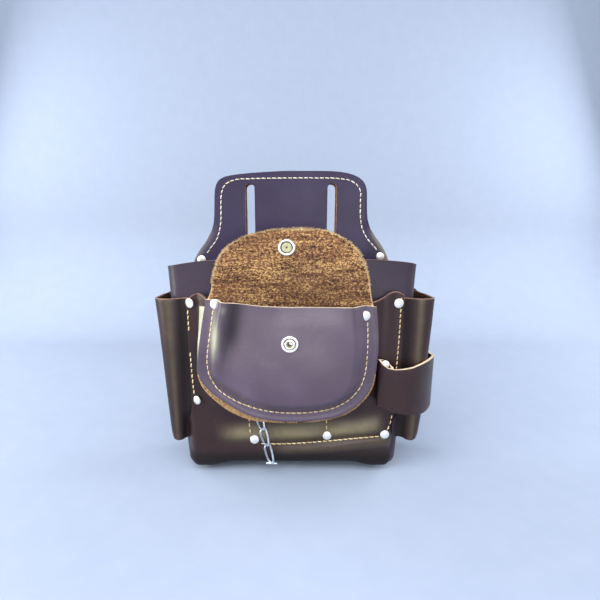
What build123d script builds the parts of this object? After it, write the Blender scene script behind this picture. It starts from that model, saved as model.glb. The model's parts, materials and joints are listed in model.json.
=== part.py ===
"""Leather tool pouch worn on a belt: stitched bag, two side sleeves, three tool slots, a snap-flap pocket,
a strap loop and a tape chain. Millimetres. X is the wearer's left to right seen from the front, +Y is
towards the wearer and +Z is up. The origin is midway between the two belt slots on the rear face.
A depth is a distance in front of the rear face, so a point at depth d has Y = -d."""

from build123d import *
import math
import os

# Leather and general fits
leather = 2.5
rest_gap = 0.3
hole_gap = 0.1

# Back panel and yoke, seen from the front
yoke_half = 79.0
yoke_top_z = 47.0
yoke_corner = 13.0
flare_top_z = -14.0
flare_radius = 30.0
shoulder_half = 102.0
shoulder_z = -42.0
yoke_bottom_z = -45.0
slot_spacing = 84.0
slot_width = 9.6
slot_length = 69.0

# Main bag
bag_lip_z = -41.0
bag_half_top = 116.0
bag_half_bottom = 105.0
bag_bottom_z = -252.0
bag_depth = 60.0
bag_corner = 22.0
bag_edge = 10.0

# Margin of the back panel outside the bag, which the sleeves stand on
margin_side = 14.5
margin_bottom = 6.0
margin_top_z = -68.0

# Outer panel that makes the tool slots
panel_lip_z = -70.0
panel_low_z = -170.0
panel_swell_top = 15.0
panel_swell_low = 13.0
hem_z = -212.0
panel_end_z = -242.0
seam_pad = 11.0
strap_pad = 21.5
side_seam_in = 16.5
left_seam_x = -36.5
right_seam_x = 36.0
seam_rise = 0.2
hem_step = 7.5

# Side sleeves
sleeve_lip_z = -77.0
sleeve_end_z = -224.0
sleeve_reach = 13.5
sleeve_bend = 9.0
left_sleeve_lap = 22.0
right_sleeve_lap = 28.0

# Flap pocket
pocket_half_top = 73.0
pocket_half = 80.0
pocket_wide_z = -130.0
pocket_round = 56.0
pocket_lip_z = -74.9
pocket_swell = 13.0
pocket_flat_top = 14.5
pocket_flat_side = 10.0
fold_clearance = 0.4

# Flap: a root that folds up from the pocket's back, and a tip that leans back from it
fold_z = -76.5
root_length = 19.3
root_trim = 1.2
tip_length = 51.2
tip_lean = 24.1
flap_half_base = 72.0
flap_half_root = 70.9
flap_half_shoulder = 66.0
flap_shoulder = 25.5
flap_corner = 20.0
snap_along = 33.2

# Snap fastener
snap_radius = 7.5
stud_flange = 1.0
stud_nose_radius = 4.6
stud_nose = 1.8
stud_hole = 1.8
socket_gap = 0.4
socket_height = 2.2
socket_floor = 0.5
snap_cap_height = 1.3
snap_post_radius = 1.6
snap_post_disc = 6.5
snap_disc_height = 0.8

# Cap rivets
rivet_cap_radius = 4.5
rivet_cap_height = 1.6
rivet_cap_rim = 0.5
rivet_post_radius = 1.5
rivet_back_height = 1.2
shoulder_rivet_x = 94.0
shoulder_rivet_z = -39.4
pocket_rivet_x = 66.5
pocket_rivet_sink = 2.8
pocket_rivet_left_z = -81.4
pocket_rivet_right_z = -83.5
left_top_rivet_z = -80.5
left_low_rivet_z = -178.5
right_top_rivet_z = -80.0
hem_left_z = -215.0
hem_middle_z = -210.0
hem_right_z = -208.0

# Strap loop on the right side
strap_width = 46.0
strap_top_z = -138.5
strap_fold_x = 83.0
strap_inner_end_x = 103.0
strap_roll = 10.2
strap_fold_radius = 4.6
strap_turn_x = 118.0
strap_turn_radius = 18.0
strap_side_x = 142.0
strap_side_depth = 50.0
strap_side_radius = 12.0
strap_rear_radius = 3.5
strap_rear_end_x = 127.0
strap_rivet_drop = 4.0
strap_rivet_x = 92.4
strap_rivet_margin = 1.0

# Tape chain
wire = 1.5
link_length = 21.0
link_width = 7.0
link_gap = 0.2
link_count = 3
chain_drift = 13.0
chain_depth = 68.5
chain_rivet_z = -157.0
tab_radius = 4.0
tab_height = 1.2
tab_drop = 10.0
eye_radius = 3.2
eye_depth = 67.0
bar_length = 12.0
bar_radius = 1.0
bar_ring_length = 12.0


def point(x, depth, z):
    return Vector(x, -depth, z)


def slab(face, near, far):
    """A face drawn as (x, z), as thick as the depths from near to far."""
    return extrude(Plane.XZ.offset(near) * face, far - near)


def symmetric_outline(right_side):
    """A closed outline from the corners of its right half, listed from the top to the bottom."""
    left_side = [(-x, z) for x, z in reversed(right_side)]
    return make_face(Polyline(*right_side, *left_side, close=True))


def round_corners(face, corners):
    """Rounds the outline's corners nearest to each (x, z) and its mirror image by that radius."""
    for x, z, radius in corners:
        for side in (-1, 1):
            corner = min(face.vertices(), key=lambda v: math.hypot(v.X - side * x, v.Y - z))
            face = fillet(corner, radius)
    return face


def bag_half(z):
    """Half of the bag's outer width at a height."""
    share = (z - bag_bottom_z) / (bag_lip_z - bag_bottom_z)
    return bag_half_bottom + (bag_half_top - bag_half_bottom) * share


def side_seam_x(z):
    return bag_half(z) - side_seam_in


def rivet_front(x, z, face_depth, back_depth):
    """A domed cap on the face at face_depth, with a post that ends at back_depth."""
    cap = Cylinder(rivet_cap_radius, rivet_cap_height, align=(Align.CENTER, Align.CENTER, Align.MIN))
    dome_rise = rivet_cap_height - rivet_cap_rim
    cap = chamfer(cap.edges().filter_by(GeomType.CIRCLE).sort_by(Axis.Z)[-1], dome_rise * 0.999, dome_rise * 1.6)
    post = Cylinder(
        rivet_post_radius, face_depth - back_depth, align=(Align.CENTER, Align.CENTER, Align.MAX)
    )
    where = Plane(point(x, face_depth, z), x_dir=(1, 0, 0), z_dir=(0, -1, 0))
    return where * (cap + post)


def rivet_back(x, z, back_depth):
    """The rear cap, a disc with the post through it, from back_depth towards the front."""
    disc = Circle(rivet_cap_radius) - Circle(rivet_post_radius + hole_gap)
    return slab(Pos(x, z) * disc, back_depth, back_depth + rivet_back_height)


def drill(piece, holes, near, far):
    """Cuts a post hole at each (x, z) from the depth near to the depth far."""
    for x, z in holes:
        piece -= slab(Pos(x, z) * Circle(rivet_post_radius + hole_gap), near, far)
    return piece


def sink(piece, holes):
    """Cuts a round recess in the rear face, so that a rear cap lies flush in it."""
    for x, z in holes:
        piece -= slab(Pos(x, z) * Circle(rivet_cap_radius + hole_gap), 0, rivet_back_height)
    return piece


# Places that several pieces share
slot_places = [(-slot_spacing / 2, 0), (slot_spacing / 2, 0)]
yoke_face = 2 * leather
sleeve_face = bag_depth + leather
panel_face = bag_depth + 2 * leather
panel_seat = bag_depth + leather
panel_crown = bag_depth + panel_swell_top + leather
pocket_back_depth = panel_crown + rest_gap
pocket_seat = pocket_back_depth + leather
pocket_rim_face = pocket_seat + leather
pocket_front_face = pocket_rim_face + pocket_swell
bag_inside = bag_depth - leather

# Closed, the flap's inner face hangs in front of the stud with the socket over it
closed_face = pocket_front_face + stud_flange + socket_height + rest_gap
root_rise = math.sqrt(root_length**2 - (closed_face - pocket_seat) ** 2)
stud_z = fold_z + root_rise - snap_along

strap_bottom_z = strap_top_z - strap_width
strap_seat = panel_face
strap_rear_x = strap_rear_end_x + rivet_cap_radius + strap_rivet_margin
strap_rivet_z = strap_top_z - strap_rivet_drop
strap_middle_z = strap_top_z - strap_width / 2
strap_front_rivet = (strap_rivet_x, strap_rivet_z)
strap_rear_rivet = (strap_rear_x, strap_middle_z)

shoulder_places = [(-shoulder_rivet_x, shoulder_rivet_z), (shoulder_rivet_x, shoulder_rivet_z)]
seam_places = [
    (-side_seam_x(left_top_rivet_z), left_top_rivet_z),
    (-side_seam_x(left_low_rivet_z), left_low_rivet_z),
    (side_seam_x(right_top_rivet_z), right_top_rivet_z),
]
hem_inner_places = [(left_seam_x, hem_left_z), (right_seam_x, hem_middle_z)]
hem_side_place = (side_seam_x(hem_right_z), hem_right_z)
pocket_places = [(-pocket_rivet_x, pocket_rivet_left_z), (pocket_rivet_x, pocket_rivet_right_z)]
chain_place = (left_seam_x, chain_rivet_z)
side_places = [*seam_places, hem_side_place, strap_front_rivet]
front_places = [*side_places, *hem_inner_places, chain_place]


def belt_slots(near, far):
    slots = [slab(Pos(x, z) * SlotOverall(slot_length, slot_width, rotation=90), near, far) for x, z in slot_places]
    return slots[0] + slots[1]


def back_panel():
    """Rear ply of the belt area, running down behind the bag to the bottom seam."""
    top = [(yoke_half, yoke_top_z), (yoke_half, flare_top_z), (shoulder_half, shoulder_z)]
    low = [
        (bag_half(margin_top_z) + margin_side, margin_top_z),
        (bag_half(sleeve_end_z) + margin_side, sleeve_end_z),
        (bag_half_bottom + margin_bottom, bag_bottom_z + bag_corner),
        (bag_half_bottom + margin_bottom, bag_bottom_z - margin_bottom),
    ]
    face = symmetric_outline(top + low)
    corners = [
        (yoke_half, yoke_top_z, yoke_corner),
        (yoke_half, flare_top_z, flare_radius),
        (bag_half_bottom + margin_bottom, bag_bottom_z - margin_bottom, bag_corner),
    ]
    panel = slab(round_corners(face, corners), 0, leather)
    ear_start_x = bag_half(strap_bottom_z)
    ear = Pos((ear_start_x + strap_side_x) / 2, strap_middle_z) * Rectangle(strap_side_x - ear_start_x, strap_width)
    panel += slab(ear, 0, leather)
    panel -= belt_slots(0, leather)
    rear_places = [*shoulder_places, strap_rear_rivet]
    return sink(drill(panel, rear_places, 0, leather), rear_places)


def yoke():
    """Front ply of the belt area, with the same belt slots."""
    outline = [
        (yoke_half, yoke_top_z),
        (yoke_half, flare_top_z),
        (shoulder_half, shoulder_z),
        (shoulder_half, yoke_bottom_z),
    ]
    corners = [(yoke_half, yoke_top_z, yoke_corner), (yoke_half, flare_top_z, flare_radius)]
    ply = slab(round_corners(symmetric_outline(outline), corners), leather, yoke_face)
    ply -= belt_slots(leather, yoke_face)
    return drill(ply, shoulder_places, leather, yoke_face)


def bag_body(inset, top_z):
    """The bag's outer form, or with an inset the space inside it, up to top_z."""
    bottom_z = bag_bottom_z + inset
    outline = [(bag_half(top_z) - inset, top_z), (bag_half(bottom_z) - inset, bottom_z)]
    face = round_corners(symmetric_outline(outline), [(bag_half(bottom_z) - inset, bottom_z, bag_corner - inset)])
    front = bag_depth - inset
    body = slab(face, leather, front)
    rim = body.faces().sort_by(Axis.Y)[0].edges().sort_by(Axis.Z)[:-1]
    return fillet(rim, bag_edge - inset)


def main_bag():
    """Tall inner bag: front, sides and bottom in one, closed at the rear by the back panel."""
    bag = bag_body(0, bag_lip_z) - bag_body(leather, bag_lip_z + leather)
    return drill(bag, front_places, bag_inside - leather, bag_depth + leather)


def sheet_section(z, pads, crowns):
    """Section at a height of a leather sheet that lies on pads and arches between them.
    A pad is its two x and the depth of its underside, and a crown is the underside at mid span."""
    sides = []
    for lift in (0, leather):
        for i, (x0, x1, depth) in enumerate(pads):
            sides.append(Line(point(x0, depth + lift, z), point(x1, depth + lift, z)))
            if i < len(crowns):
                x2, _, next_depth = pads[i + 1]
                middle = point((x1 + x2) / 2, crowns[i] + lift, z)
                sides.append(
                    ThreePointArc(point(x1, depth + lift, z), middle, point(x2, next_depth + lift, z))
                )
    first, last = pads[0], pads[-1]
    sides.append(Line(point(first[0], first[2], z), point(first[0], first[2] + leather, z)))
    sides.append(Line(point(last[1], last[2], z), point(last[1], last[2] + leather, z)))
    return make_face(sides)


def panel_section(z, side_depth, swell):
    seam = side_seam_x(z)
    half_pad = seam_pad / 2
    pads = [
        (-seam - half_pad, -seam + half_pad, side_depth),
        (left_seam_x - half_pad, left_seam_x + half_pad, bag_depth),
        (right_seam_x - half_pad, right_seam_x + half_pad, bag_depth),
        (seam + half_pad - strap_pad, seam + half_pad, side_depth),
    ]
    outer = max(bag_depth + swell, (side_depth + bag_depth) / 2 + seam_rise)
    middle = bag_depth + max(swell, seam_rise)
    return sheet_section(z, pads, [outer, middle, outer])


def tool_panel():
    """Outer front panel: swells out between four seams into three slots, and lies flat below the hem."""
    over_sleeve_z = sleeve_end_z - rest_gap
    sections = [
        panel_section(panel_lip_z, panel_seat, panel_swell_top),
        panel_section(panel_low_z, panel_seat, panel_swell_low),
        panel_section(hem_z, panel_seat, 0),
        panel_section(over_sleeve_z, panel_seat, 0),
        panel_section(over_sleeve_z - hem_step, bag_depth, 0),
        panel_section(panel_end_z, bag_depth, 0),
    ]
    panel = loft(sections, ruled=True)
    return drill(panel, [*front_places, *pocket_places], bag_depth - leather, pocket_back_depth)


def sleeve_section(z, lap):
    """A tapered side sleeve's wall: from under the outer panel, round the bag's corner, to the back panel."""
    half = bag_half(z)
    outer_x = half + sleeve_reach
    inner_x = outer_x - leather
    inner_bend = sleeve_bend - leather
    turn = math.sqrt(0.5)
    bend_x, bend_depth = outer_x - sleeve_bend, sleeve_face - sleeve_bend
    start_x = half - lap
    outer_arc = ThreePointArc(
        point(bend_x, sleeve_face, z),
        point(bend_x + sleeve_bend * turn, bend_depth + sleeve_bend * turn, z),
        point(outer_x, bend_depth, z),
    )
    inner_arc = ThreePointArc(
        point(bend_x, bag_depth, z),
        point(bend_x + inner_bend * turn, bend_depth + inner_bend * turn, z),
        point(inner_x, bend_depth, z),
    )
    return make_face(
        [
            Line(point(start_x, sleeve_face, z), point(bend_x, sleeve_face, z)),
            outer_arc,
            Line(point(outer_x, bend_depth, z), point(outer_x, leather, z)),
            Line(point(outer_x, leather, z), point(inner_x, leather, z)),
            Line(point(inner_x, leather, z), point(inner_x, bend_depth, z)),
            inner_arc,
            Line(point(bend_x, bag_depth, z), point(start_x, bag_depth, z)),
            Line(point(start_x, bag_depth, z), point(start_x, sleeve_face, z)),
        ]
    )


def right_sleeve():
    sections = [sleeve_section(z, right_sleeve_lap) for z in (sleeve_lip_z, sleeve_end_z)]
    return drill(loft(sections, ruled=True), side_places, bag_inside, panel_face)


def left_sleeve():
    sections = [sleeve_section(z, left_sleeve_lap) for z in (sleeve_lip_z, sleeve_end_z)]
    return drill(mirror(loft(sections, ruled=True), Plane.YZ), side_places, bag_inside, panel_face)


def pocket_outline(top_z):
    """Outline of the flap pocket: sides that widen downwards, and a half-oval bottom."""
    widening = (pocket_half - pocket_half_top) / (pocket_lip_z - pocket_wide_z)
    top_half = pocket_half_top - widening * (top_z - pocket_lip_z)
    corners = [(-top_half, top_z), (top_half, top_z), (pocket_half, pocket_wide_z), (-pocket_half, pocket_wide_z)]
    upper = make_face(Polyline(*corners, close=True))
    below = Pos(0, pocket_wide_z - pocket_round) * Rectangle(2 * pocket_half, 2 * pocket_round)
    return upper + (Pos(0, pocket_wide_z) * Ellipse(pocket_half, pocket_round) & below)


def pocket_back():
    """Flat rear leaf of the flap pocket; its top edge runs on into the flap."""
    leaf = slab(pocket_outline(fold_z - rest_gap), pocket_back_depth, pocket_seat)
    return drill(leaf, pocket_places, pocket_back_depth, pocket_seat)


def pocket_section(z, span, swell):
    over = pocket_half + leather
    pads = [(-over, -span, pocket_seat), (span, over, pocket_seat)]
    return sheet_section(z, pads, [pocket_seat + max(swell, seam_rise)])


def flap_room():
    """The space over the pocket's lip that the flap's root sweeps as it closes."""
    far = pocket_front_face + leather
    slope = root_rise / (closed_face - pocket_seat)
    low_z = fold_z - fold_clearance
    top_z = pocket_lip_z + leather
    corners = [(-pocket_seat, low_z), (-far, low_z + slope * (far - pocket_seat)), (-far, top_z), (-pocket_seat, top_z)]
    return extrude(Plane.YZ * make_face(Polyline(*corners, close=True)), pocket_half, both=True)


def pocket_front():
    """Front leaf of the flap pocket: a flat rim sewn to the rear leaf, and a swell that opens at the top."""
    bottom_z = pocket_wide_z - pocket_round
    lower_z = pocket_wide_z - pocket_round / 2
    tail_z = bottom_z + pocket_flat_side + leather
    lower_half = pocket_half * math.sqrt(3) / 2
    sections = [
        pocket_section(pocket_lip_z, pocket_half_top - pocket_flat_top, pocket_swell),
        pocket_section(stud_z, pocket_half - pocket_flat_side - leather, pocket_swell),
        pocket_section(pocket_wide_z, pocket_half - pocket_flat_side, pocket_swell),
        pocket_section(lower_z, lower_half - pocket_flat_side, pocket_swell / 2),
        pocket_section(tail_z, lower_half / 2, 0),
        pocket_section(bottom_z - leather, lower_half / 2, 0),
    ]
    front = pocket_front_face + leather
    leaf = loft(sections, ruled=True) & slab(pocket_outline(pocket_lip_z), pocket_back_depth, front)
    leaf -= flap_room()
    leaf = drill(leaf, pocket_places, pocket_seat, pocket_rim_face)
    return leaf - slab(Pos(0, stud_z) * Circle(snap_post_radius + hole_gap), pocket_seat, front)


# The flap's two hinge lines lie on its inner face
root_plane = Plane(point(0, pocket_seat, fold_z), x_dir=(1, 0, 0), z_dir=(0, -1, 0))
lean = math.radians(tip_lean)
tip_plane = Plane(
    point(0, pocket_seat, fold_z + root_length),
    x_dir=(1, 0, 0),
    z_dir=(0, -math.cos(lean), math.sin(lean)),
)


def flap_fold():
    """Root of the flap, which bends up out of the pocket's back."""
    top = root_length - root_trim
    corners = [(-flap_half_base, 0), (flap_half_base, 0), (flap_half_root, top), (-flap_half_root, top)]
    return root_plane * extrude(make_face(Polyline(*corners, close=True)), -leather)


def flap():
    """Outer part of the flap, with a rounded end and the snap's socket."""
    sides = Polyline(
        (-flap_half_shoulder, flap_shoulder), (-flap_half_root, 0), (flap_half_root, 0), (flap_half_shoulder, flap_shoulder)
    )
    end = ThreePointArc((flap_half_shoulder, flap_shoulder), (0, tip_length), (-flap_half_shoulder, flap_shoulder))
    face = round_corners(make_face([*sides.edges(), end]), [(flap_half_shoulder, flap_shoulder, flap_corner)])
    face -= Pos(0, snap_along) * Circle(snap_post_radius + hole_gap)
    return tip_plane * extrude(face, -leather)


def snap_socket():
    """Female half of the snap, a ring with a floor, on the flap's inner face."""
    ring = Circle(snap_radius) - Circle(stud_nose_radius + socket_gap)
    body = extrude(Circle(snap_radius), socket_floor) + Pos(0, 0, socket_floor) * extrude(ring, socket_height - socket_floor)
    return tip_plane * Pos(0, snap_along, 0) * body


def snap_cap():
    """Domed cap on the flap's outer face, with its post through the leather."""
    cap = Cylinder(snap_radius, snap_cap_height, align=(Align.CENTER, Align.CENTER, Align.MAX))
    rim = cap.edges().filter_by(GeomType.CIRCLE).sort_by(Axis.Z)[0]
    cap = fillet(rim, snap_cap_height / 2)
    post = Cylinder(snap_post_radius, leather, align=(Align.CENTER, Align.CENTER, Align.MIN))
    return tip_plane * Pos(0, snap_along, -leather) * (cap + post)


def snap_stud():
    """Male half of the snap on the pocket's front: flange, raised nose and the hole of its post."""
    flange = slab(Pos(0, stud_z) * Circle(snap_radius), pocket_front_face, pocket_front_face + stud_flange)
    nose_start = pocket_front_face + stud_flange
    nose = slab(Pos(0, stud_z) * Circle(stud_nose_radius), nose_start, nose_start + stud_nose)
    bore = slab(Pos(0, stud_z) * Circle(stud_hole), pocket_front_face, nose_start + stud_nose)
    return flange + nose - bore


def snap_post():
    """Eyelet inside the pocket: a disc, and a post through the leather into the stud."""
    inside = pocket_front_face - leather - rest_gap
    disc = slab(Pos(0, stud_z) * Circle(snap_post_disc), inside - snap_disc_height, inside)
    post = slab(Pos(0, stud_z) * Circle(snap_post_radius), inside, pocket_front_face + stud_flange)
    return disc + post


def tape_loop():
    """Strap for a tape or hammer: folded back on itself at its inner end, round the right sleeve, to the rear."""
    half = leather / 2
    inner_depth = strap_seat + half
    front_depth = inner_depth + strap_roll
    rear_depth = leather + half
    corners = [
        (strap_inner_end_x, -inner_depth),
        (strap_fold_x, -inner_depth),
        (strap_fold_x, -front_depth),
        (strap_turn_x, -front_depth),
        (strap_side_x - half, -strap_side_depth),
        (strap_side_x - half, -rear_depth),
        (strap_rear_end_x, -rear_depth),
    ]
    radii = [strap_fold_radius, strap_fold_radius, strap_turn_radius, strap_side_radius, strap_rear_radius]
    path = FilletPolyline(*corners, radius=radii)
    strap = Pos(0, 0, strap_bottom_z) * extrude(trace(path, leather), strap_width)
    strap = drill(strap, [strap_front_rivet], strap_seat, strap_seat + leather)
    return drill(strap, [strap_rear_rivet], leather, yoke_face)


def rivet_groups():
    """Each group of rivets by node name: the places, the face under the cap and the depth of the post's end."""
    inside_end = bag_inside - rivet_back_height
    return {
        "shoulder_rivets": [(x, z, yoke_face, 0) for x, z in shoulder_places],
        "seam_rivets": [(x, z, panel_face, inside_end) for x, z in seam_places],
        "hem_rivets": [
            *[(x, z, sleeve_face, inside_end) for x, z in hem_inner_places],
            (*hem_side_place, panel_face, inside_end),
        ],
        "pocket_rivets": [
            (x, z, pocket_rim_face, bag_depth + panel_swell_top - pocket_rivet_sink - rivet_back_height)
            for x, z in pocket_places
        ],
        "loop_rivets": [
            (*strap_front_rivet, strap_seat + leather, inside_end),
            (*strap_rear_rivet, yoke_face, 0),
        ],
        "chain_rivet": [(*chain_place, sleeve_face + tab_height, inside_end)],
    }


def chain_tab():
    """Steel tab under the chain's rivet, with an eye at its lower end."""
    x, z = chain_place
    plate = Pos(x, z) * Circle(tab_radius) + Pos(x, z - tab_drop / 2) * Rectangle(2 * eye_radius, tab_drop)
    plate -= Pos(x, z) * Circle(rivet_post_radius + hole_gap)
    tab = slab(plate, sleeve_face, sleeve_face + tab_height)
    ring_plane = Plane(point(x, eye_depth, z - tab_drop), x_dir=(0, 1, 0), z_dir=(1, 0, 0))
    return tab + ring_plane * Torus(eye_radius, wire / 2)


# The chain runs down and a little to the right from the tab's eye
drift = math.radians(chain_drift)
chain_down = Vector(math.sin(drift), 0, -math.cos(drift))
chain_side = Vector(math.cos(drift), 0, math.sin(drift))
link_pitch = link_length - 2 * wire - link_gap
chain_top = point(left_seam_x, chain_depth, chain_rivet_z - tab_drop - link_gap - wire / 4)


def oval_link(top, length, face_on):
    """A wire oval hanging from the centre of its top bar, in the front plane or edge on."""
    centre = top + chain_down * ((length - wire) / 2)
    across = chain_side if face_on else Vector(0, 1, 0)
    frame = Plane(centre, x_dir=across, z_dir=across.cross(chain_down))
    straight = length - link_width
    reach = (link_width - wire) / 2
    path = Polyline((reach, 0), (reach, straight / 2)) + ThreePointArc(
        (reach, straight / 2), (0, straight / 2 + reach), (-reach, straight / 2)
    )
    path += Polyline((-reach, straight / 2), (-reach, -straight / 2)) + ThreePointArc(
        (-reach, -straight / 2), (0, -straight / 2 - reach), (reach, -straight / 2)
    )
    path += Polyline((reach, -straight / 2), (reach, 0))
    start = Plane((reach, 0, 0), z_dir=(0, 1, 0)) * Circle(wire / 2)
    return frame * sweep(start, path)


def chain_pivot(number):
    """Centre of the top bar of a link, counted from 0."""
    return chain_top + chain_down * (link_pitch * number)


def chain_bar():
    """Cross bar at the chain's end, with the short link it is formed on."""
    top = chain_pivot(link_count)
    ring = oval_link(top, bar_ring_length, link_count % 2 == 0)
    foot = top + chain_down * (bar_ring_length - wire)
    bar = Plane(foot, z_dir=chain_side) * Cylinder(bar_radius, bar_length)
    return ring + bar


def build():
    pieces = {
        "back_panel": back_panel(),
        "yoke": yoke(),
        "main_bag": main_bag(),
        "tool_panel": tool_panel(),
        "left_sleeve": left_sleeve(),
        "right_sleeve": right_sleeve(),
        "pocket_back": pocket_back(),
        "pocket_front": pocket_front(),
        "flap_fold": flap_fold(),
        "flap": flap(),
        "snap_cap": snap_cap(),
        "snap_socket": snap_socket(),
        "snap_stud": snap_stud(),
        "snap_post": snap_post(),
        "tape_loop": tape_loop(),
        "chain_tab": chain_tab(),
        "chain_bar": chain_bar(),
    }
    for number in range(link_count):
        pieces[f"chain_link_{number + 1}"] = oval_link(chain_pivot(number), link_length, number % 2 == 0)
    backs = []
    for name, rivets in rivet_groups().items():
        pieces[name] = Compound(children=[rivet_front(*rivet) for rivet in rivets])
        backs += [rivet_back(x, z, end) for x, z, _, end in rivets]
    pieces["rivet_backs"] = Compound(children=backs)
    return pieces


os.makedirs("parts", exist_ok=True)
for node, shape in build().items():
    export_step(shape, f"parts/{node}.step")
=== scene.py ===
import json
import math
import random

import bpy
import numpy as np
from mathutils import Matrix, Vector


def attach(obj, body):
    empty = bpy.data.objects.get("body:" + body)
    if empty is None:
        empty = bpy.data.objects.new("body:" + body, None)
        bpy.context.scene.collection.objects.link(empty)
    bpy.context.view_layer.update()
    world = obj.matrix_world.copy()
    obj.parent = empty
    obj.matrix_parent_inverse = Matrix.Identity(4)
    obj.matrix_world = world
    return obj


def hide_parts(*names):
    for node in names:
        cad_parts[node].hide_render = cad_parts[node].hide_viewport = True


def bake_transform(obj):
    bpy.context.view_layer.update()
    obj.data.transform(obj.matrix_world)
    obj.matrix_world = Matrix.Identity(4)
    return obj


# Leather tool pouch. Shapes are written in millimetres as (x, depth, z), where depth runs forward from
# the rear face, and are turned into metres in the frame when a mesh gets its points.
MM = 0.001
LEATHER = 2.5  # thickness of every leather piece
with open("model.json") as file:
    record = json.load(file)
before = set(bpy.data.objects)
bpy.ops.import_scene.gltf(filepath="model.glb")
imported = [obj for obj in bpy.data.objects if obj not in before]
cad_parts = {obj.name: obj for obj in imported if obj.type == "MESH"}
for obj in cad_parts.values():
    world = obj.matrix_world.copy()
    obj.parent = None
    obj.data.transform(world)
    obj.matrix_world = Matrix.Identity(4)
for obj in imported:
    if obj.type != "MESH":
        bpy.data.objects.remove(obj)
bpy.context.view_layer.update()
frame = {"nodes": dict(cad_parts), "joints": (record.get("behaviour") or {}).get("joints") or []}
dice = random.Random(7)  # small differences between rivets and between stitches


# ---------------- numbers along lines
def eased(values, start, end):
    """0 before start, 1 after end and a smooth rise between them."""
    share = np.clip((np.asarray(values, float) - start) / (end - start), 0, 1)
    return share * share * (3 - 2 * share)


def ridge(value, middle, width):
    """1 at the middle, falling away smoothly to both sides."""
    return np.exp(-(((value - middle) / width) ** 2))


def table(pairs, at):
    """Straight interpolation in a list of (place, value)."""
    places, values = zip(*sorted(pairs))
    return np.interp(at, places, values)


def smooth_line(points, share):
    """Points of a smooth line through the given points, at shares of its length from 0 to 1."""
    points = np.asarray(points, float)
    steps = np.linalg.norm(np.diff(points, axis=0), axis=1)
    travel = np.concatenate([[0], np.cumsum(steps)])
    slopes = np.gradient(points, travel, axis=0)
    along = np.clip(np.asarray(share, float), 0, 1) * travel[-1]
    span = np.clip(np.searchsorted(travel, along, side="right") - 1, 0, len(steps) - 1)
    length = steps[span]
    t = (along - travel[span]) / length
    t, length = t[..., None], length[..., None]
    start, end = points[span], points[span + 1]
    lead, tail = slopes[span] * length, slopes[span + 1] * length
    return (
        start * (2 * t**3 - 3 * t**2 + 1)
        + lead * (t**3 - 2 * t**2 + t)
        + end * (3 * t**2 - 2 * t**3)
        + tail * (t**3 - t**2)
    )


def in_frame(points):
    """Points (x, depth, z) in millimetres as metres in the frame."""
    points = np.asarray(points, float)
    return np.column_stack([points[:, 0], -points[:, 1], points[:, 2]]) * MM


# ---------------- materials
def tones(*colours):
    """Shader colours from the eight-bit red, green and blue that they show as."""
    made = []
    for colour in colours:
        parts = [part / 255 for part in colour]
        linear = [part / 12.92 if part <= 0.04045 else ((part + 0.055) / 1.055) ** 2.4 for part in parts]
        made.append((*linear, 1.0))
    return made


def shaded(colour, share):
    """A darker shade of a shader colour."""
    return (*(share * part for part in colour[:3]), 1.0)


class Value:
    """A socket of a material. Sums, differences and products of it add Math nodes."""

    def __init__(self, paint, socket):
        self.paint = paint
        self.socket = socket

    def math(self, operation, first, second):
        return self.paint.node("ShaderNodeMath", {"operation": operation}, first, second)

    def __add__(self, other):
        return self.math("ADD", self, other)

    def __sub__(self, other):
        return self.math("SUBTRACT", self, other)

    def __rsub__(self, other):
        return self.math("SUBTRACT", other, self)

    def __mul__(self, other):
        return self.math("MULTIPLY", self, other)

    __radd__, __rmul__ = __add__, __mul__


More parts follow.
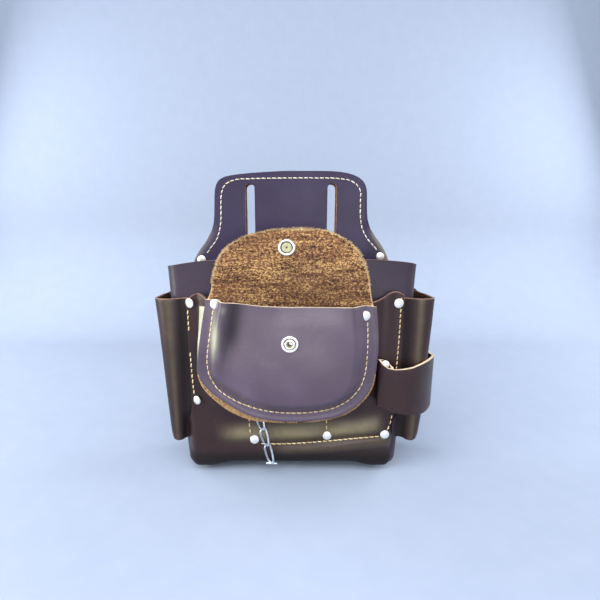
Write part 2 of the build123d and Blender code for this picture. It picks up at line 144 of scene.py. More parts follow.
class Paint:
    """A material being mixed."""

    def __init__(self, name):
        self.material = bpy.data.materials.new(name)
        self.material.use_nodes = True
        self.tree = self.material.node_tree
        self.surface = self.tree.nodes["Principled BSDF"]

    def feed(self, socket, value):
        if isinstance(value, Value):
            self.tree.links.new(value.socket, socket)
        elif value is not None:
            socket.default_value = value

    def node(self, kind, settings, *inputs, output=0, **named):
        """Adds a node: its settings or ramp stops first, then its inputs by order or by name."""
        node = self.tree.nodes.new(kind)
        for key, value in settings.items():
            if key != "stops":
                setattr(node, key, value)
                continue
            ramp = node.color_ramp
            for place, colour in value[1:-1]:
                ramp.elements.new(place).color = colour
            ramp.elements[0].position, ramp.elements[0].color = value[0]
            ramp.elements[-1].position, ramp.elements[-1].color = value[-1]
        for number, value in enumerate(inputs):
            self.feed(node.inputs[number], value)
        for key, value in named.items():
            self.feed(node.inputs[key], value)
        return Value(self, node.outputs[output])

    def places(self, scale=(1, 1, 1), turn=(0, 0, 0)):
        """Object coordinates, stretched and turned."""
        here = self.node("ShaderNodeTexCoord", {}, output=3)
        return self.node("ShaderNodeMapping", {}, here, Rotation=turn, Scale=scale)

    def noise(self, scale, detail=3, rough=0.55, where=None, warp=0.0):
        fixed = {"Scale": scale, "Detail": detail, "Roughness": rough, "Distortion": warp}
        return self.node("ShaderNodeTexNoise", {}, Vector=where or self.places(), **fixed)

    def pebbles(self, scale):
        return self.node("ShaderNodeTexVoronoi", {"feature": "SMOOTH_F1"}, Vector=self.places(), Scale=scale)

    def stored(self, name):
        """A share from 0 to 1 kept in the piece's points."""
        return self.node("ShaderNodeAttribute", {"attribute_name": name}, output=2)

    def steps(self, value, low, high, to_low=0.0, to_high=1.0):
        """value moved from between low and high to between to_low and to_high, kept inside."""
        return self.node("ShaderNodeMapRange", {"clamp": True}, value, low, high, to_low, to_high)

    def mix(self, factor, first, second):
        node = self.tree.nodes.new("ShaderNodeMix")
        node.data_type = "RGBA"
        for number, value in ((0, factor), (6, first), (7, second)):
            self.feed(node.inputs[number], value)
        return Value(self, node.outputs[2])

    def bump(self, height, strength, distance):
        return self.node("ShaderNodeBump", {}, Strength=strength, Distance=distance, Height=height)

    def finish(self, colour, roughness, normal=None, **fixed):
        self.feed(self.surface.inputs["Base Color"], colour)
        self.feed(self.surface.inputs["Roughness"], roughness)
        if normal:
            self.feed(self.surface.inputs["Normal"], normal)
        for key, value in fixed.items():
            self.surface.inputs[key.replace("_", " ")].default_value = value
        return self.material


# Colour of the painted highlight, unless a leather gives its own.
OLIVE = (164, 154, 122)


def grain_leather(name, dark, light, worn, gloss, scratches=1.0, shine=0.6, highlight_tone=OLIVE):
    """Oiled full-grain leather: slightly cloudy dye, fine pebble, small pits and a few scratches.
    It takes highlight_tone as a painted highlight, and goes dark and dull as painted shade, where the piece
    stores them."""
    paint = Paint(name)
    dark, light, worn, highlight_tone = tones(dark, light, worn, highlight_tone)
    clouds = paint.noise(13, 3, 0.55, warp=0.5)
    patches = paint.noise(60, 3, 0.6)
    colour = paint.mix(paint.steps(clouds, 0.32, 0.70), dark, light)
    rubbed = paint.steps(patches * clouds, 0.32, 0.46, 0.0, 0.3)
    colour = paint.mix(rubbed, colour, worn)
    lines = paint.noise(48, 5, 0.74, paint.places((0.3, 1.0, 3.6), (0.1, 0.35, 0.0)))
    marks = paint.steps(lines, 0.69, 0.73, 0.0, 0.5 * scratches)
    colour = paint.mix(marks, colour, worn)
    # Painted highlight: mixes in highlight_tone by the stored share.
    highlight_share = paint.stored("hand_rub") * paint.steps(patches, 0.3, 0.62, 0.6, 1.0)
    colour = paint.mix(highlight_share, colour, highlight_tone)
    # Painted shade: darkens the colour and dulls it by the stored share.
    shade_share = paint.stored("oil_stain")
    colour = paint.mix(shade_share, colour, shaded(dark, 0.22))
    pits = paint.noise(2300, 2)
    creases = paint.noise(150, 4, 0.6, warp=0.8)
    height = paint.pebbles(1150) * 0.6 + pits * 0.35 + creases * 1.1 - marks * 0.5
    normal = paint.bump(height, 0.26, 0.0006)
    rough = paint.steps(clouds, 0.3, 0.7, gloss + 0.05, gloss - 0.05)
    rough = rough + paint.steps(patches, 0.3, 0.7, -0.03, 0.05) + marks * 0.2 + shade_share * 0.4
    return paint.finish(
        colour, rough, normal, Specular_IOR_Level=0.72 * shine, Coat_Weight=0.22 * shine, Coat_Roughness=0.24
    )


def rough_suede(name, dark, middle, light):
    """Flesh side: matt fibres in coarse clumps, with dark pits, pale tufts and a few long creases."""
    paint = Paint(name)
    dark, middle, light = tones(dark, middle, light)
    clumps = paint.noise(560, 3, 0.66, paint.places((0.8, 1.0, 1.3)), warp=0.5)
    tufts = paint.noise(1050, 3, 0.75, paint.places((1.0, 1.0, 1.3), (0.0, 0.5, 0.0)))
    streaks = paint.noise(95, 4, 0.72, paint.places((0.35, 1.0, 2.6), (0.0, 0.25, 0.0)))
    clouds = paint.noise(24, 3, 0.6)
    grain = clumps * 0.44 + tufts * 0.34 + streaks * 0.22
    stops = [(0.440, shaded(dark, 0.55)), (0.478, middle), (0.516, middle), (0.552, light)]
    colour = paint.node("ShaderNodeValToRGB", {"stops": stops}, grain)
    colour = paint.mix(paint.steps(paint.noise(30, 2), 0.46, 0.6, 0.0, 0.22), colour, middle)
    colour = paint.mix(paint.steps(clouds, 0.4, 0.66, 0.0, 0.3), colour, dark)
    # Painted shade darkens, and painted highlight lightens, the suede by the stored shares.
    colour = paint.mix(paint.stored("oil_stain") * paint.steps(grain, 0.53, 0.60, 1.0, 0.0), colour, dark)
    colour = paint.mix(paint.stored("hand_rub") * paint.steps(grain, 0.49, 0.55), colour, light)
    normal = paint.bump(grain * 3.0, 1.0, 0.0022)
    return paint.finish(colour, 0.93, normal, Specular_IOR_Level=0.2, Sheen_Weight=0.12)


def cut_edge(name, dark, light):
    """A cut edge: pale fibres in thin layers, stained here and there."""
    paint = Paint(name)
    dark, light = tones(dark, light)
    layers = paint.noise(700, 4, 0.7, paint.places((0.25, 1.0, 0.5)))
    stains = paint.noise(90, 4, 0.65)
    colour = paint.mix(paint.steps(layers, 0.35, 0.65), dark, light)
    colour = paint.mix(paint.steps(stains, 0.52, 0.72, 0.0, 0.6), colour, dark)
    normal = paint.bump(layers + stains * 0.5, 0.5, 0.0005)
    return paint.finish(colour, 0.78, normal, Specular_IOR_Level=0.3)


def bright_metal(name, clean, dull, gloss, metallic):
    """Plated metal with handling marks and slight tarnish."""
    paint = Paint(name)
    clean, dull = tones(clean, dull)
    tarnish = paint.noise(260, 4, 0.65)
    marks = paint.noise(900, 3, 0.7, paint.places((1.0, 1.0, 0.2), (0.4, 0.2, 0.9)))
    colour = paint.mix(paint.steps(tarnish, 0.45, 0.7, 0.0, 0.7), clean, dull)
    rough = paint.steps(marks, 0.35, 0.7, gloss - 0.05, gloss + 0.14)
    normal = paint.bump(marks * 0.4 + tarnish, 0.12, 0.0003)
    return paint.finish(colour, rough, normal, Metallic=metallic)


def sewing_thread(name, dark, light):
    """Waxed thread: two plies twisted round each other."""
    paint = Paint(name)
    dark, light = tones(dark, light)
    bands = {"bands_direction": "DIAGONAL"}
    plies = paint.node("ShaderNodeTexWave", bands, Vector=paint.places(), Scale=420, Distortion=1.5)
    soil = paint.noise(240, 3, 0.6)
    colour = paint.mix(paint.steps(soil, 0.4, 0.66), light, dark)
    normal = paint.bump(plies + soil, 0.45, 0.0004)
    return paint.finish(colour, 0.6, normal, Specular_IOR_Level=0.35)


# The body leather is the pouch's own brown. The bag and yoke leathers are copies of it with a painted
# bluish-purple sky reflection in their colour, and the pocket leather is a lighter copy with a painted sheen;
# its highlight colour is a painted pale-green reflection.
grain_body = grain_leather("brown_leather", (42, 26, 27), (62, 41, 42), (96, 74, 66), 0.37, shine=0.42)
bag_grain_sky_tint = grain_leather("bag_leather", (48, 37, 50), (64, 52, 70), (84, 72, 84), 0.46, 0.5, 0.45)
yoke_grain_sky_tint = grain_leather("yoke_leather", (46, 37, 61), (57, 47, 78), (74, 64, 86), 0.52, 0.4, 0.4)
pocket_grain_sheen = grain_leather(
    "pocket_leather", (82, 69, 85), (101, 86, 106), (128, 112, 118), 0.38, highlight_tone=(206, 211, 178)
)
suede_flap = rough_suede("flap_suede", (46, 20, 10), (158, 104, 70), (255, 208, 136))
suede_inside = rough_suede("inside_suede", (62, 40, 28), (104, 74, 48), (140, 104, 66))
suede_pale = rough_suede("pale_suede", (176, 128, 84), (222, 178, 126), (244, 212, 164))
suede_fringe = rough_suede("suede_fringe", (204, 156, 104), (248, 212, 156), (255, 240, 200))
edge_tan = cut_edge("tan_edge", (176, 124, 88), (240, 204, 164))
edge_cream = cut_edge("cream_edge", (216, 184, 146), (255, 242, 214))
edge_brown = cut_edge("brown_edge", (104, 74, 66), (170, 134, 118))
edge_dark = cut_edge("dark_edge", (34, 26, 30), (60, 46, 46))
nickel = bright_metal("nickel_plate", (252, 250, 246), (226, 221, 208), 0.38, 0.72)
nickel_worn = bright_metal("worn_nickel", (176, 172, 142), (128, 120, 88), 0.55, 0.45)
# Painted shade for the snap's grooves and middles.
nickel_painted_shade = bright_metal("nickel_recess", (72, 56, 38), (34, 25, 17), 0.7, 0.15)
steel = bright_metal("zinc_wire", (206, 212, 220), (120, 126, 136), 0.34, 0.92)
thread_gold = sewing_thread("golden_thread", (214, 182, 118), (255, 240, 194))
thread_cream = sewing_thread("cream_thread", (222, 212, 182), (255, 251, 234))


# ---------------- making meshes
FRONT, BACK, EDGE, EXTRA = range(4)  # material slots of a leather piece


def select_only(piece):
    bpy.ops.object.select_all(action="DESELECT")
    piece.select_set(True)
    bpy.context.view_layer.objects.active = piece


def mode(name):
    bpy.ops.object.mode_set(mode=name)


def added(shape, **settings):
    """A new mesh primitive, which is then the only object selected."""
    bpy.ops.object.select_all(action="DESELECT")
    getattr(bpy.ops.mesh, f"primitive_{shape}_add")(**settings)
    return bpy.context.object


def points_of(piece):
    places = np.empty(len(piece.data.vertices) * 3)
    piece.data.vertices.foreach_get("co", places)
    return places.reshape(-1, 3)


def set_points(piece, places):
    piece.data.vertices.foreach_set("co", np.asarray(places, float).ravel())
    piece.data.update()


def part_middle(places, pull):
    """Moves the points above the middle up and those below it down; points on it stay."""
    places[:, 2] += np.where(places[:, 2] > 1e-7, pull, np.where(places[:, 2] < -1e-7, -pull, 0))


def dress(piece, *materials):
    for material in materials:
        piece.data.materials.append(material)


def applied(piece, kind, **settings):
    """Adds a modifier to the piece and applies it."""
    select_only(piece)
    modifier = piece.modifiers.new(kind.lower(), kind)
    for key, value in settings.items():
        setattr(modifier, key, value)
    bpy.ops.object.modifier_apply(modifier=modifier.name)


def smooth(piece, degrees):
    select_only(piece)
    bpy.ops.object.shade_smooth_by_angle(angle=math.radians(degrees))
    return piece


def pick_faces(piece, chosen):
    """Selects the faces for which chosen(face) holds, and leaves the piece in edit mode."""
    mode("EDIT")
    bpy.ops.mesh.select_all(action="DESELECT")
    mode("OBJECT")
    for face in piece.data.polygons:
        face.select = chosen(face)
    mode("EDIT")


def skin(name, columns, rows, place):
    """A grid of leather whose points are placed by place(across, down), both running from 0 to 1."""
    piece = added("grid", x_subdivisions=columns, y_subdivisions=rows, size=1)
    piece.name = name
    flat = points_of(piece)
    set_points(piece, in_frame(place(flat[:, 0] + 0.5, 0.5 - flat[:, 1])))
    return piece


def thicken(piece):
    """Gives a skin its thickness behind the front face."""
    thickness = LEATHER * MM
    applied(piece, "SOLIDIFY", thickness=thickness, offset=-1, material_offset=BACK, material_offset_rim=EDGE)


def soften(piece, width, degrees=62, material=EDGE):
    """Rounds the sharp edges."""
    limits = {"limit_method": "ANGLE", "angle_limit": math.radians(degrees)}
    applied(piece, "BEVEL", width=width * MM, segments=2, material=material, **limits)


def as_leather(piece, front, back, edge, edge_width):
    """A thick piece of leather from a skin, with rounded edges that show the cut."""
    dress(piece, front, back, edge)
    thicken(piece)
    soften(piece, edge_width)
    smooth(piece, 50)


def store_painted_light(piece, name, share):
    """Keeps in the piece's points their share of painted shade or of painted highlight, under a name:
    share(x, depth, z), from 0 to 1.
    """
    x, y, z = points_of(piece).T / MM
    field = piece.data.attributes.new(name, "FLOAT", "POINT")
    field.data.foreach_set("value", np.clip(share(x, -y, z), 0, 1))


def edge_by_place(piece, material, chosen):
    """Gives the cut-edge faces whose middles are chosen another material. Middles are (x, depth, z)."""
    dress(piece, material)
    middles = np.array([face.center[:] for face in piece.data.polygons]) / MM * (1, -1, 1)
    for face, here in zip(piece.data.polygons, chosen(middles)):
        if here and face.material_index == EDGE:
            face.material_index = EXTRA


def placed(piece, body, replaces=()):
    """Rides a piece on a body, in place of the CAD nodes that it replaces."""
    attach(piece, body)
    if replaces:
        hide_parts(*replaces)


def turned(profile, material, sides=40):
    """A turned metal piece standing on the ground plane: a disc pulled up ring by ring.
    The profile lists (radius, height) in millimetres from the foot outwards."""
    radius, height = profile[0]
    middle = (0, 0, height / 2 * MM)
    piece = added("cylinder", vertices=sides, radius=radius * MM, depth=height * MM, location=middle)
    bpy.ops.object.transform_apply(location=True)
    pick_faces(piece, lambda face: face.normal.z > 0.9)
    for next_radius, next_height in profile[1:]:
        rise = (next_height - height) * MM
        bpy.ops.mesh.extrude_region_move(TRANSFORM_OT_translate={"value": (0, 0, rise)})
        share = next_radius / radius
        bpy.ops.transform.resize(value=(share, share, 1), center_override=(0, 0, next_height * MM))
        radius, height = next_radius, next_height
    mode("OBJECT")
    dress(piece, material)
    return smooth(piece, 38)


def shade_and_wear_ring(model, metal, low, high):
    """Gives the faces of a turned piece between two radii another metal."""
    dress(model, metal)
    number = len(model.data.materials) - 1
    for face in model.data.polygons:
        corners = [model.data.vertices[corner].co for corner in face.vertices]
        reach = max(math.hypot(corner.x, corner.y) for corner in corners) / MM
        if low < reach <= high and face.center.z > 0:
            face.material_index = number


def facing(place, normal, spin=0.0):
    """A matrix that stands a turned piece on a point with its axis along a normal, both (x, depth, z)."""
    up = Vector((normal[0], -normal[1], normal[2])).normalized()
    turn = up.to_track_quat("Z", "Y").to_matrix().to_4x4() @ Matrix.Rotation(spin, 4, "Z")
    return Matrix.Translation(Vector((place[0], -place[1], place[2])) * MM) @ turn


def drop(piece):
    bpy.data.objects.remove(piece, do_unlink=True)


def copies(name, model, matrices):
    """Copies of a model, each with its own mesh, joined into one piece. The model is removed."""
    made = []
    for matrix in matrices:
        copy = model.copy()
        copy.data = model.data.copy()
        copy.data.transform(matrix)
        bpy.context.scene.collection.objects.link(copy)
        made.append(copy)
    bpy.ops.object.select_all(action="DESELECT")
    for copy in made:
        copy.select_set(True)
    bpy.context.view_layer.objects.active = made[0]
    if len(made) > 1:
        bpy.ops.object.join()
    piece = bpy.context.view_layer.objects.active
    piece.name = name
    drop(model)
    return piece


# ---------------- camera and light
camera_data = bpy.data.cameras.new("camera")
camera_data.sensor_width = 36.0
camera_data.lens = 23.16
camera_data.shift_x = 0.015
camera = bpy.data.objects.new("camera", camera_data)
camera.location = (0.0, -0.414, -0.001)
camera.rotation_euler = (math.radians(78), 0, 0)
bpy.context.scene.collection.objects.link(camera)
bpy.context.scene.camera = camera


# ---------------- belt plies and rear panel
belt_left = [
    (45.6, -2), (45.3, -12), (44.6, -26), (43.7, -40), (42.6, -52), (41.4, -61), (40, -67.5), (38, -71.8),
    (35.6, -74.4), (32.6, -76.2), (28, -77.7), (22, -78.4), (2, -79.4), (-5, -80.2), (-9, -81.3),
    (-13.5, -83), (-18, -85.3), (-23, -88.2), (-28, -91.6), (-34, -96.4), (-40, -100.2), (-46, -103.2),
]
belt_right = [
    (45.6, 30), (45.3, 42), (44.7, 50), (43.4, 58), (41.6, 64), (39.2, 69.2), (36, 73.2), (32.2, 75.8),
    (28, 77.3), (24, 77.8), (7, 78.5), (-2, 79.4), (-7, 81), (-12, 83.2), (-17, 86.6), (-22, 90.4),
    (-28, 95), (-34, 99), (-40, 102), (-46, 104.4),
]
rear_left = belt_left + [
    (-53, -105), (-54.2, -109.5), (-56.5, -112.2), (-60, -113.2), (-71.5, -114), (-72.6, -124.5),
    (-74, -127.4), (-76, -128.4), (-150, -124.5), (-206, -121.2), (-215, -119.5), (-225, -116),
    (-236, -112.5), (-246, -109), (-252, -104.5), (-256, -98), (-258, -90),
]
rear_right = belt_right + [
    (-53, 106), (-54.2, 111), (-56.5, 113.8), (-60, 114.8), (-73.8, 116), (-75, 131.5), (-76.2, 135.4),
    (-78, 136.6), (-133, 133.5), (-134.2, 138), (-136, 140.6), (-139, 141.5), (-183, 141.5), (-186, 140.4),
    (-188, 137.4), (-189.2, 131), (-206, 129), (-215, 126), (-225, 119.5), (-236, 113.5), (-246, 109.5),
    (-252, 104.5), (-256, 98), (-258, 90),
]


def belt_curl(x, z):
    """How far the rims of the two shoulders curl back."""
    right = np.clip(1 - (table(belt_right, z) - x) / 12, 0, 1)
    left = np.clip(1 - (x - table(belt_left, z)) / 12, 0, 1)
    shoulder = eased(-z, 2, 20) * (1 - eased(-z, 46, 54))
    return (3.4 * right**2 + 2.0 * left**2) * shoulder


def row_levels(outline, step):
    """Heights of the rows of a flat piece: those of its outline, and more between them."""
    levels = sorted({z for z, _ in outline}, reverse=True)
    filled = []
    for high, low in zip(levels, levels[1:]):
        count = max(1, math.ceil((high - low) / step))
        filled += [high + (low - high) * k / count for k in range(count)]
    return filled + [levels[-1]]


def at_level(levels, down):
    """Height at a share of the way down through a list of levels."""
    return np.interp(down, np.linspace(0, 1, len(levels)), levels)


def flat_skin(name, left, right, columns, step, depth, lift=None):
    """A skin between two outlines, row by row, at a depth given by depth(x, z).
    Where lift(x, down) is given, it raises the rows."""
    levels = row_levels(left + right, step)

    def place(across, down):
        z = at_level(levels, down)
        low, high = table(left, z), table(right, z)
        x = low + (high - low) * across
        if lift:
            z = z + lift(x, down)
        return np.column_stack([x, depth(x, z), z])

    return skin(name, columns, len(levels) - 1, place)


SLOT_RADIUS = 4.8


def belt_slot_cutter(x, half_height):
    """A capsule that stands through a ply, to cut one belt slot."""
    stand = {"rotation": (math.pi / 2, 0, 0), "location": (x * MM, 0, 0)}
    cutter = added("cylinder", vertices=48, radius=SLOT_RADIUS * MM, depth=30 * MM, **stand)
    bpy.ops.object.transform_apply(location=True, rotation=True)
    places = points_of(cutter)
    straight = (half_height - SLOT_RADIUS) * MM
    places[:, 2] += np.where(places[:, 2] > 0, straight, -straight)
    set_points(cutter, places)
    return cutter


def cut_belt_slots(piece, spacing, half_height):
    """Cuts both belt slots, and gives their walls the last material."""
    for x in (-spacing / 2, spacing / 2):
        cutter = belt_slot_cutter(x, half_height)
        applied(piece, "BOOLEAN", operation="DIFFERENCE", solver="EXACT", object=cutter)
        drop(cutter)
    for face in piece.data.polygons:
        x, z = face.center.x / MM, face.center.z / MM
        if abs(abs(x) - 42) < 6.5 and abs(z) < 36.5 and abs(face.normal.y) < 0.5:
            face.material_index = EXTRA


def yoke_face(x, z):
    """Depth of the front ply's face."""
    return 5.0 + 0.25 * np.sin(x / 23 + z / 31) - belt_curl(x, z)


def rear_face(x, z):
    """Depth of the rear ply's face, which lies against the front ply."""
    return yoke_face(x, z) - 2.55


def belt_ply(name, left, right, face, front, back, spacing, half_height, node):
    """One of the two plies behind the bag, with its belt slots. Its shoulders take a painted highlight."""
    piece = flat_skin(name, left, right, 58, 3.6, face)
    dress(piece, front, back, edge_dark, edge_tan)
    thicken(piece)
    cut_belt_slots(piece, spacing, half_height)
    soften(piece, 0.45, 60, material=-1)
    smooth(piece, 45)

    # Painted highlight along the shoulders' rims, stronger on the right.
    def shoulder_highlight(x, depth, z):
        rim = np.minimum(x - table(left, z), table(right, z) - x)
        return np.where(x < 0, 0.16, 0.38) * (1 - eased(rim, 1, 8)) * eased(-z, 6, 26)

    store_painted_light(piece, "hand_rub", shoulder_highlight)
    placed(piece, "root", [node])


belt_ply("yoke_ply", belt_left, belt_right, yoke_face, yoke_grain_sky_tint, suede_inside, 84.2, 33.6, "yoke")
belt_ply("rear_panel", rear_left, rear_right, rear_face, suede_inside, yoke_grain_sky_tint, 81.4, 32.4, "back_panel")


# ---------------- main bag
BAG_DEPTH = 60.0
BAG_ROUND = 9.0
BAG_FOOT, BAG_TOP = -252, -41


def bag_half(z):
    """Half of the bag's width at a height."""
    return 105 + 11 * (z - BAG_FOOT) / (BAG_TOP - BAG_FOOT)


def bottom_lift(x):
    """How far the bottom is drawn up between its corners."""
    return 4.6 * (1 - eased(np.abs(x), 58, 86))


def bag_lip(x):
    """Height of the bag's front lip."""
    lip = [
        (-116, -45.4), (-112.3, -44.3), (-102, -42.5), (-92.8, -41.1), (-83.5, -39.9), (-74, -39),
        (-40, -38.4), (40, -38.2), (69, -38.3), (83, -38.8), (101.5, -40.5), (111, -41.9), (116, -43.6),
    ]
    return table(lip, x)


def main_bag():
    """A box with rounded edges, from a cube without its rear and top faces."""
    bag = added("cube", size=2)
    bag.name = "main_bag_leather"
    mode("EDIT")
    bpy.ops.mesh.subdivide(number_cuts=44)
    pick_faces(bag, lambda face: face.normal.z > 0.9 or face.normal.y > 0.9)
    bpy.ops.mesh.delete(type="FACE")
    mode("OBJECT")
    q = np.sin(points_of(bag) * math.pi / 2)
    z = BAG_FOOT + (BAG_TOP - BAG_FOOT) * (q[:, 2] + 1) / 2
    half = bag_half(z)
    x = q[:, 0] * half
    depth = 2.6 + (BAG_DEPTH - 2.6) * (1 - q[:, 1]) / 2
    box = np.column_stack([x, depth, z])
    core = np.column_stack([
        np.clip(x, BAG_ROUND - half, half - BAG_ROUND),
        np.minimum(depth, BAG_DEPTH - BAG_ROUND),
        np.maximum(z, BAG_FOOT + BAG_ROUND),
    ])
    away = box - core
    reach = np.linalg.norm(away, axis=1, keepdims=True)
    away = np.where(reach > 1e-6, away / np.maximum(reach, 1e-6) * np.minimum(reach, BAG_ROUND), 0)
    x, depth, z = (core + away).T
    near_lip = eased(z, -80, BAG_TOP)
    z = z + near_lip * (bag_lip(x) - BAG_TOP - 11.5 * eased(-depth, -52, 0))
    z = z + bottom_lift(x) * (1 - eased(z, BAG_FOOT, -236))
    depth = depth - near_lip * 2.4 * (np.abs(x) / 115) ** 2 * (depth > 40)
    depth = depth + 0.7 * np.sin(x / 19 + 1.2) * np.sin(z / 27) * eased(depth, 50, 58)
    x = x + 1.4 * np.sin(depth / 19) * np.sign(x) * eased(np.abs(x), 90, 112) + 2.0 * eased(x, 70, 112)
    set_points(bag, in_frame(np.column_stack([x, depth, z])))
    as_leather(bag, bag_grain_sky_tint, suede_inside, edge_brown, edge_width=0.4)
    placed(bag, "root", ["main_bag"])


main_bag()


# ---------------- outer panel with three tool slots
LEFT_SEAM, LEFT_INNER, RIGHT_INNER, RIGHT_SEAM = -94.5, -36.5, 36.0, 101.5
PANEL_TOP, HEM_LEVEL = -70, -219
HEM_ROUND = 12.5
HEM_SHARE = 0.74  # share of the rows that lie above the hem
BELOW_HEM = 76  # length of leather from the hem to the rear end of the underside


def hem_height(x):
    """Height of the stitched hem under the three slots, which rises to the right."""
    hem = [
        (-105, -224.4), (-21, -224.1), (-1, -223.8), (19, -222.5), (39, -220.6), (59, -218), (79, -215.6),
        (89, -214.3), (105, -212.6),
    ]
    return table(hem, x)


def corner_depth(x, z):
    """Depth of the bag's front with its rounded upright corners."""
    past = np.clip(np.abs(x) - (bag_half(z) - BAG_ROUND), 0, BAG_ROUND - 0.1)
    return BAG_DEPTH - BAG_ROUND + np.sqrt(BAG_ROUND**2 - past**2)


def slot_swell(x):
    """0 on the panel's seams and up to 1 over the middle of each of its three slots."""
    left = eased(x, -89, -66) * (1 - eased(x, -56, LEFT_INNER))
    middle = np.sin(math.pi * np.clip((x - LEFT_INNER) / (RIGHT_INNER - LEFT_INNER), 0, 1)) ** 0.8
    right = eased(x, RIGHT_INNER, 56) * (1 - 0.9 * eased(x, 62, 87)) * (1 - eased(x, 88, 100))
    return left + middle + right


def panel_depth(x, z):
    """Depth of the outer panel's face above the hem."""
    base = np.interp(x, [LEFT_SEAM, LEFT_INNER, RIGHT_INNER, RIGHT_SEAM], [65.2, 62.7, 62.7, 65.2])
    hem = hem_height(x)
    swell = 12.5 * (1 - eased(-z, 128, 206))
    held = 1 - 0.5 * ridge(x, LEFT_INNER, 7) - 0.5 * ridge(x, RIGHT_INNER, 7)
    ledge = 4.2 * ridge(z, hem + 9, 13) * eased(z, hem, hem + 9) * held
    ledge = ledge * eased(x, -84, -44) * (1 - eased(x, 84, 100)) * (0.72 + 0.28 * eased(x, -8, 24))
    tuck = eased(np.abs(x), 96, 105) * eased(-z, 182, 204)
    depth = base + swell * slot_swell(x) + ledge - 0.8 * eased(np.abs(x), 103, 108)
    return depth + (corner_depth(x, z) - 1.4 - depth) * tuck


def panel_side(z):
    """The panel's left and right edge at a height."""
    left = table([(-65, -97.6), (-178, -97.2), (-190, -100), (-204, -106.6), (-260, -106.0)], z)
    right = table([(-60, 104.2), (-100, 106), (-178, 106.5), (-190, 106), (-204, 106.8), (-260, 106)], z)
    return left, right


def panel_lip(x):
    """Height of the panel's upper edge, which stands up at both seams."""
    lip = [
        (-98, -74), (-94, -73), (-90.5, -70), (-86, -68.6), (-82, -70), (-78, -73.4), (-60, -75),
        (60, -76), (75, -76.4), (81, -75), (86, -72.4), (89, -69.6), (92.5, -67.9), (96, -67.2),
        (100.5, -67.9), (104, -70.4),
    ]
    return table(lip, x)


def panel_place(across, down):
    """Down to the hem the rows are level; below it they follow the bag round to its underside."""
    above = np.clip(down / HEM_SHARE, 0, 1)
    level = PANEL_TOP + (HEM_LEVEL - PANEL_TOP) * above
    left, right = panel_side(level)
    x = left + (right - left) * across
    hem = hem_height(x)
    z = panel_lip(x) + (hem - panel_lip(x)) * above
    depth = panel_depth(x, z)
    travel = np.clip((down - HEM_SHARE) / (1 - HEM_SHARE), 0, 1) * BELOW_HEM
    floor = -254.3 + bottom_lift(x)
    straight = hem - (floor + HEM_ROUND)
    arc = HEM_ROUND * math.pi / 2
    turn = np.clip(travel - straight, 0, arc) / HEM_ROUND
    under = np.clip(travel - straight - arc, 0, None)
    corner = corner_depth(x, z) - BAG_DEPTH
    tuck = eased(np.abs(x), 96, 105)
    roll = 3.2 * np.sin(math.pi * np.clip(travel / 15, 0, 1)) * (1 - tuck) * (0.2 + 0.8 * eased(x, -34, 0))
    hem_depth = panel_depth(x, hem)
    flat_depth = hem_depth + (62.5 + corner - 3.9 * tuck - hem_depth) * eased(travel, 0, 12)
    low_depth = flat_depth - HEM_ROUND * (1 - np.cos(turn)) - under + roll
    low_z = np.where(travel < straight, hem - travel, floor + HEM_ROUND - HEM_ROUND * np.sin(turn))
    low_z = low_z + 3.9 * tuck * np.sin(turn)
    below = down > HEM_SHARE
    return np.column_stack([x, np.where(below, low_depth, depth), np.where(below, low_z, z)])


# Painted shade: dark on the underside and in the groove along the left side.
def panel_shade(x, depth, z):
    return 0.95 * eased(-z, 226, 240) + 0.5 * ridge(x, -99, 4) * eased(z, -190, -176)


# Painted highlight: a band just above the hem and a weaker one just below it.
def panel_highlight(x, depth, z):
    above = 0.56 * ridge(z, hem_height(x) + 13, 8) * eased(x, -78, -50) * (1 - eased(x, 72, 96))
    return above + 0.16 * ridge(z, hem_height(x) - 8, 6) * eased(x, -40, 0)


panel = skin("tool_panel_leather", 104, 100, panel_place)
# The cut edges take the dark edge, painted shade where the sides lie in the grooves by the sleeves; those of
# the top lip then take the brown one.
as_leather(panel, grain_body, suede_inside, edge_dark, edge_width=0.5)
edge_by_place(panel, edge_brown, lambda middle: middle[:, 2] > -79)
store_painted_light(panel, "oil_stain", panel_shade)
store_painted_light(panel, "hand_rub", panel_highlight)
placed(panel, "root", ["tool_panel"])


# ---------------- side sleeves
SLEEVE_SEAT = 61.4
# The front of a sleeve's section, outwards and then back: (shift, share of its width, depth).
sleeve_section = [
    (-9, 0, 61.4), (-1, 0, 61.9), (1, 0.2, 65.6), (0, 0.45, 67.4), (0, 0.7, 66.4), (0, 0.9, 62.8),
    (0, 1, 55.5), (0.6, 1, 38), (0.4, 1, 20), (0, 1, 8), (0, 1, 3.2),
]


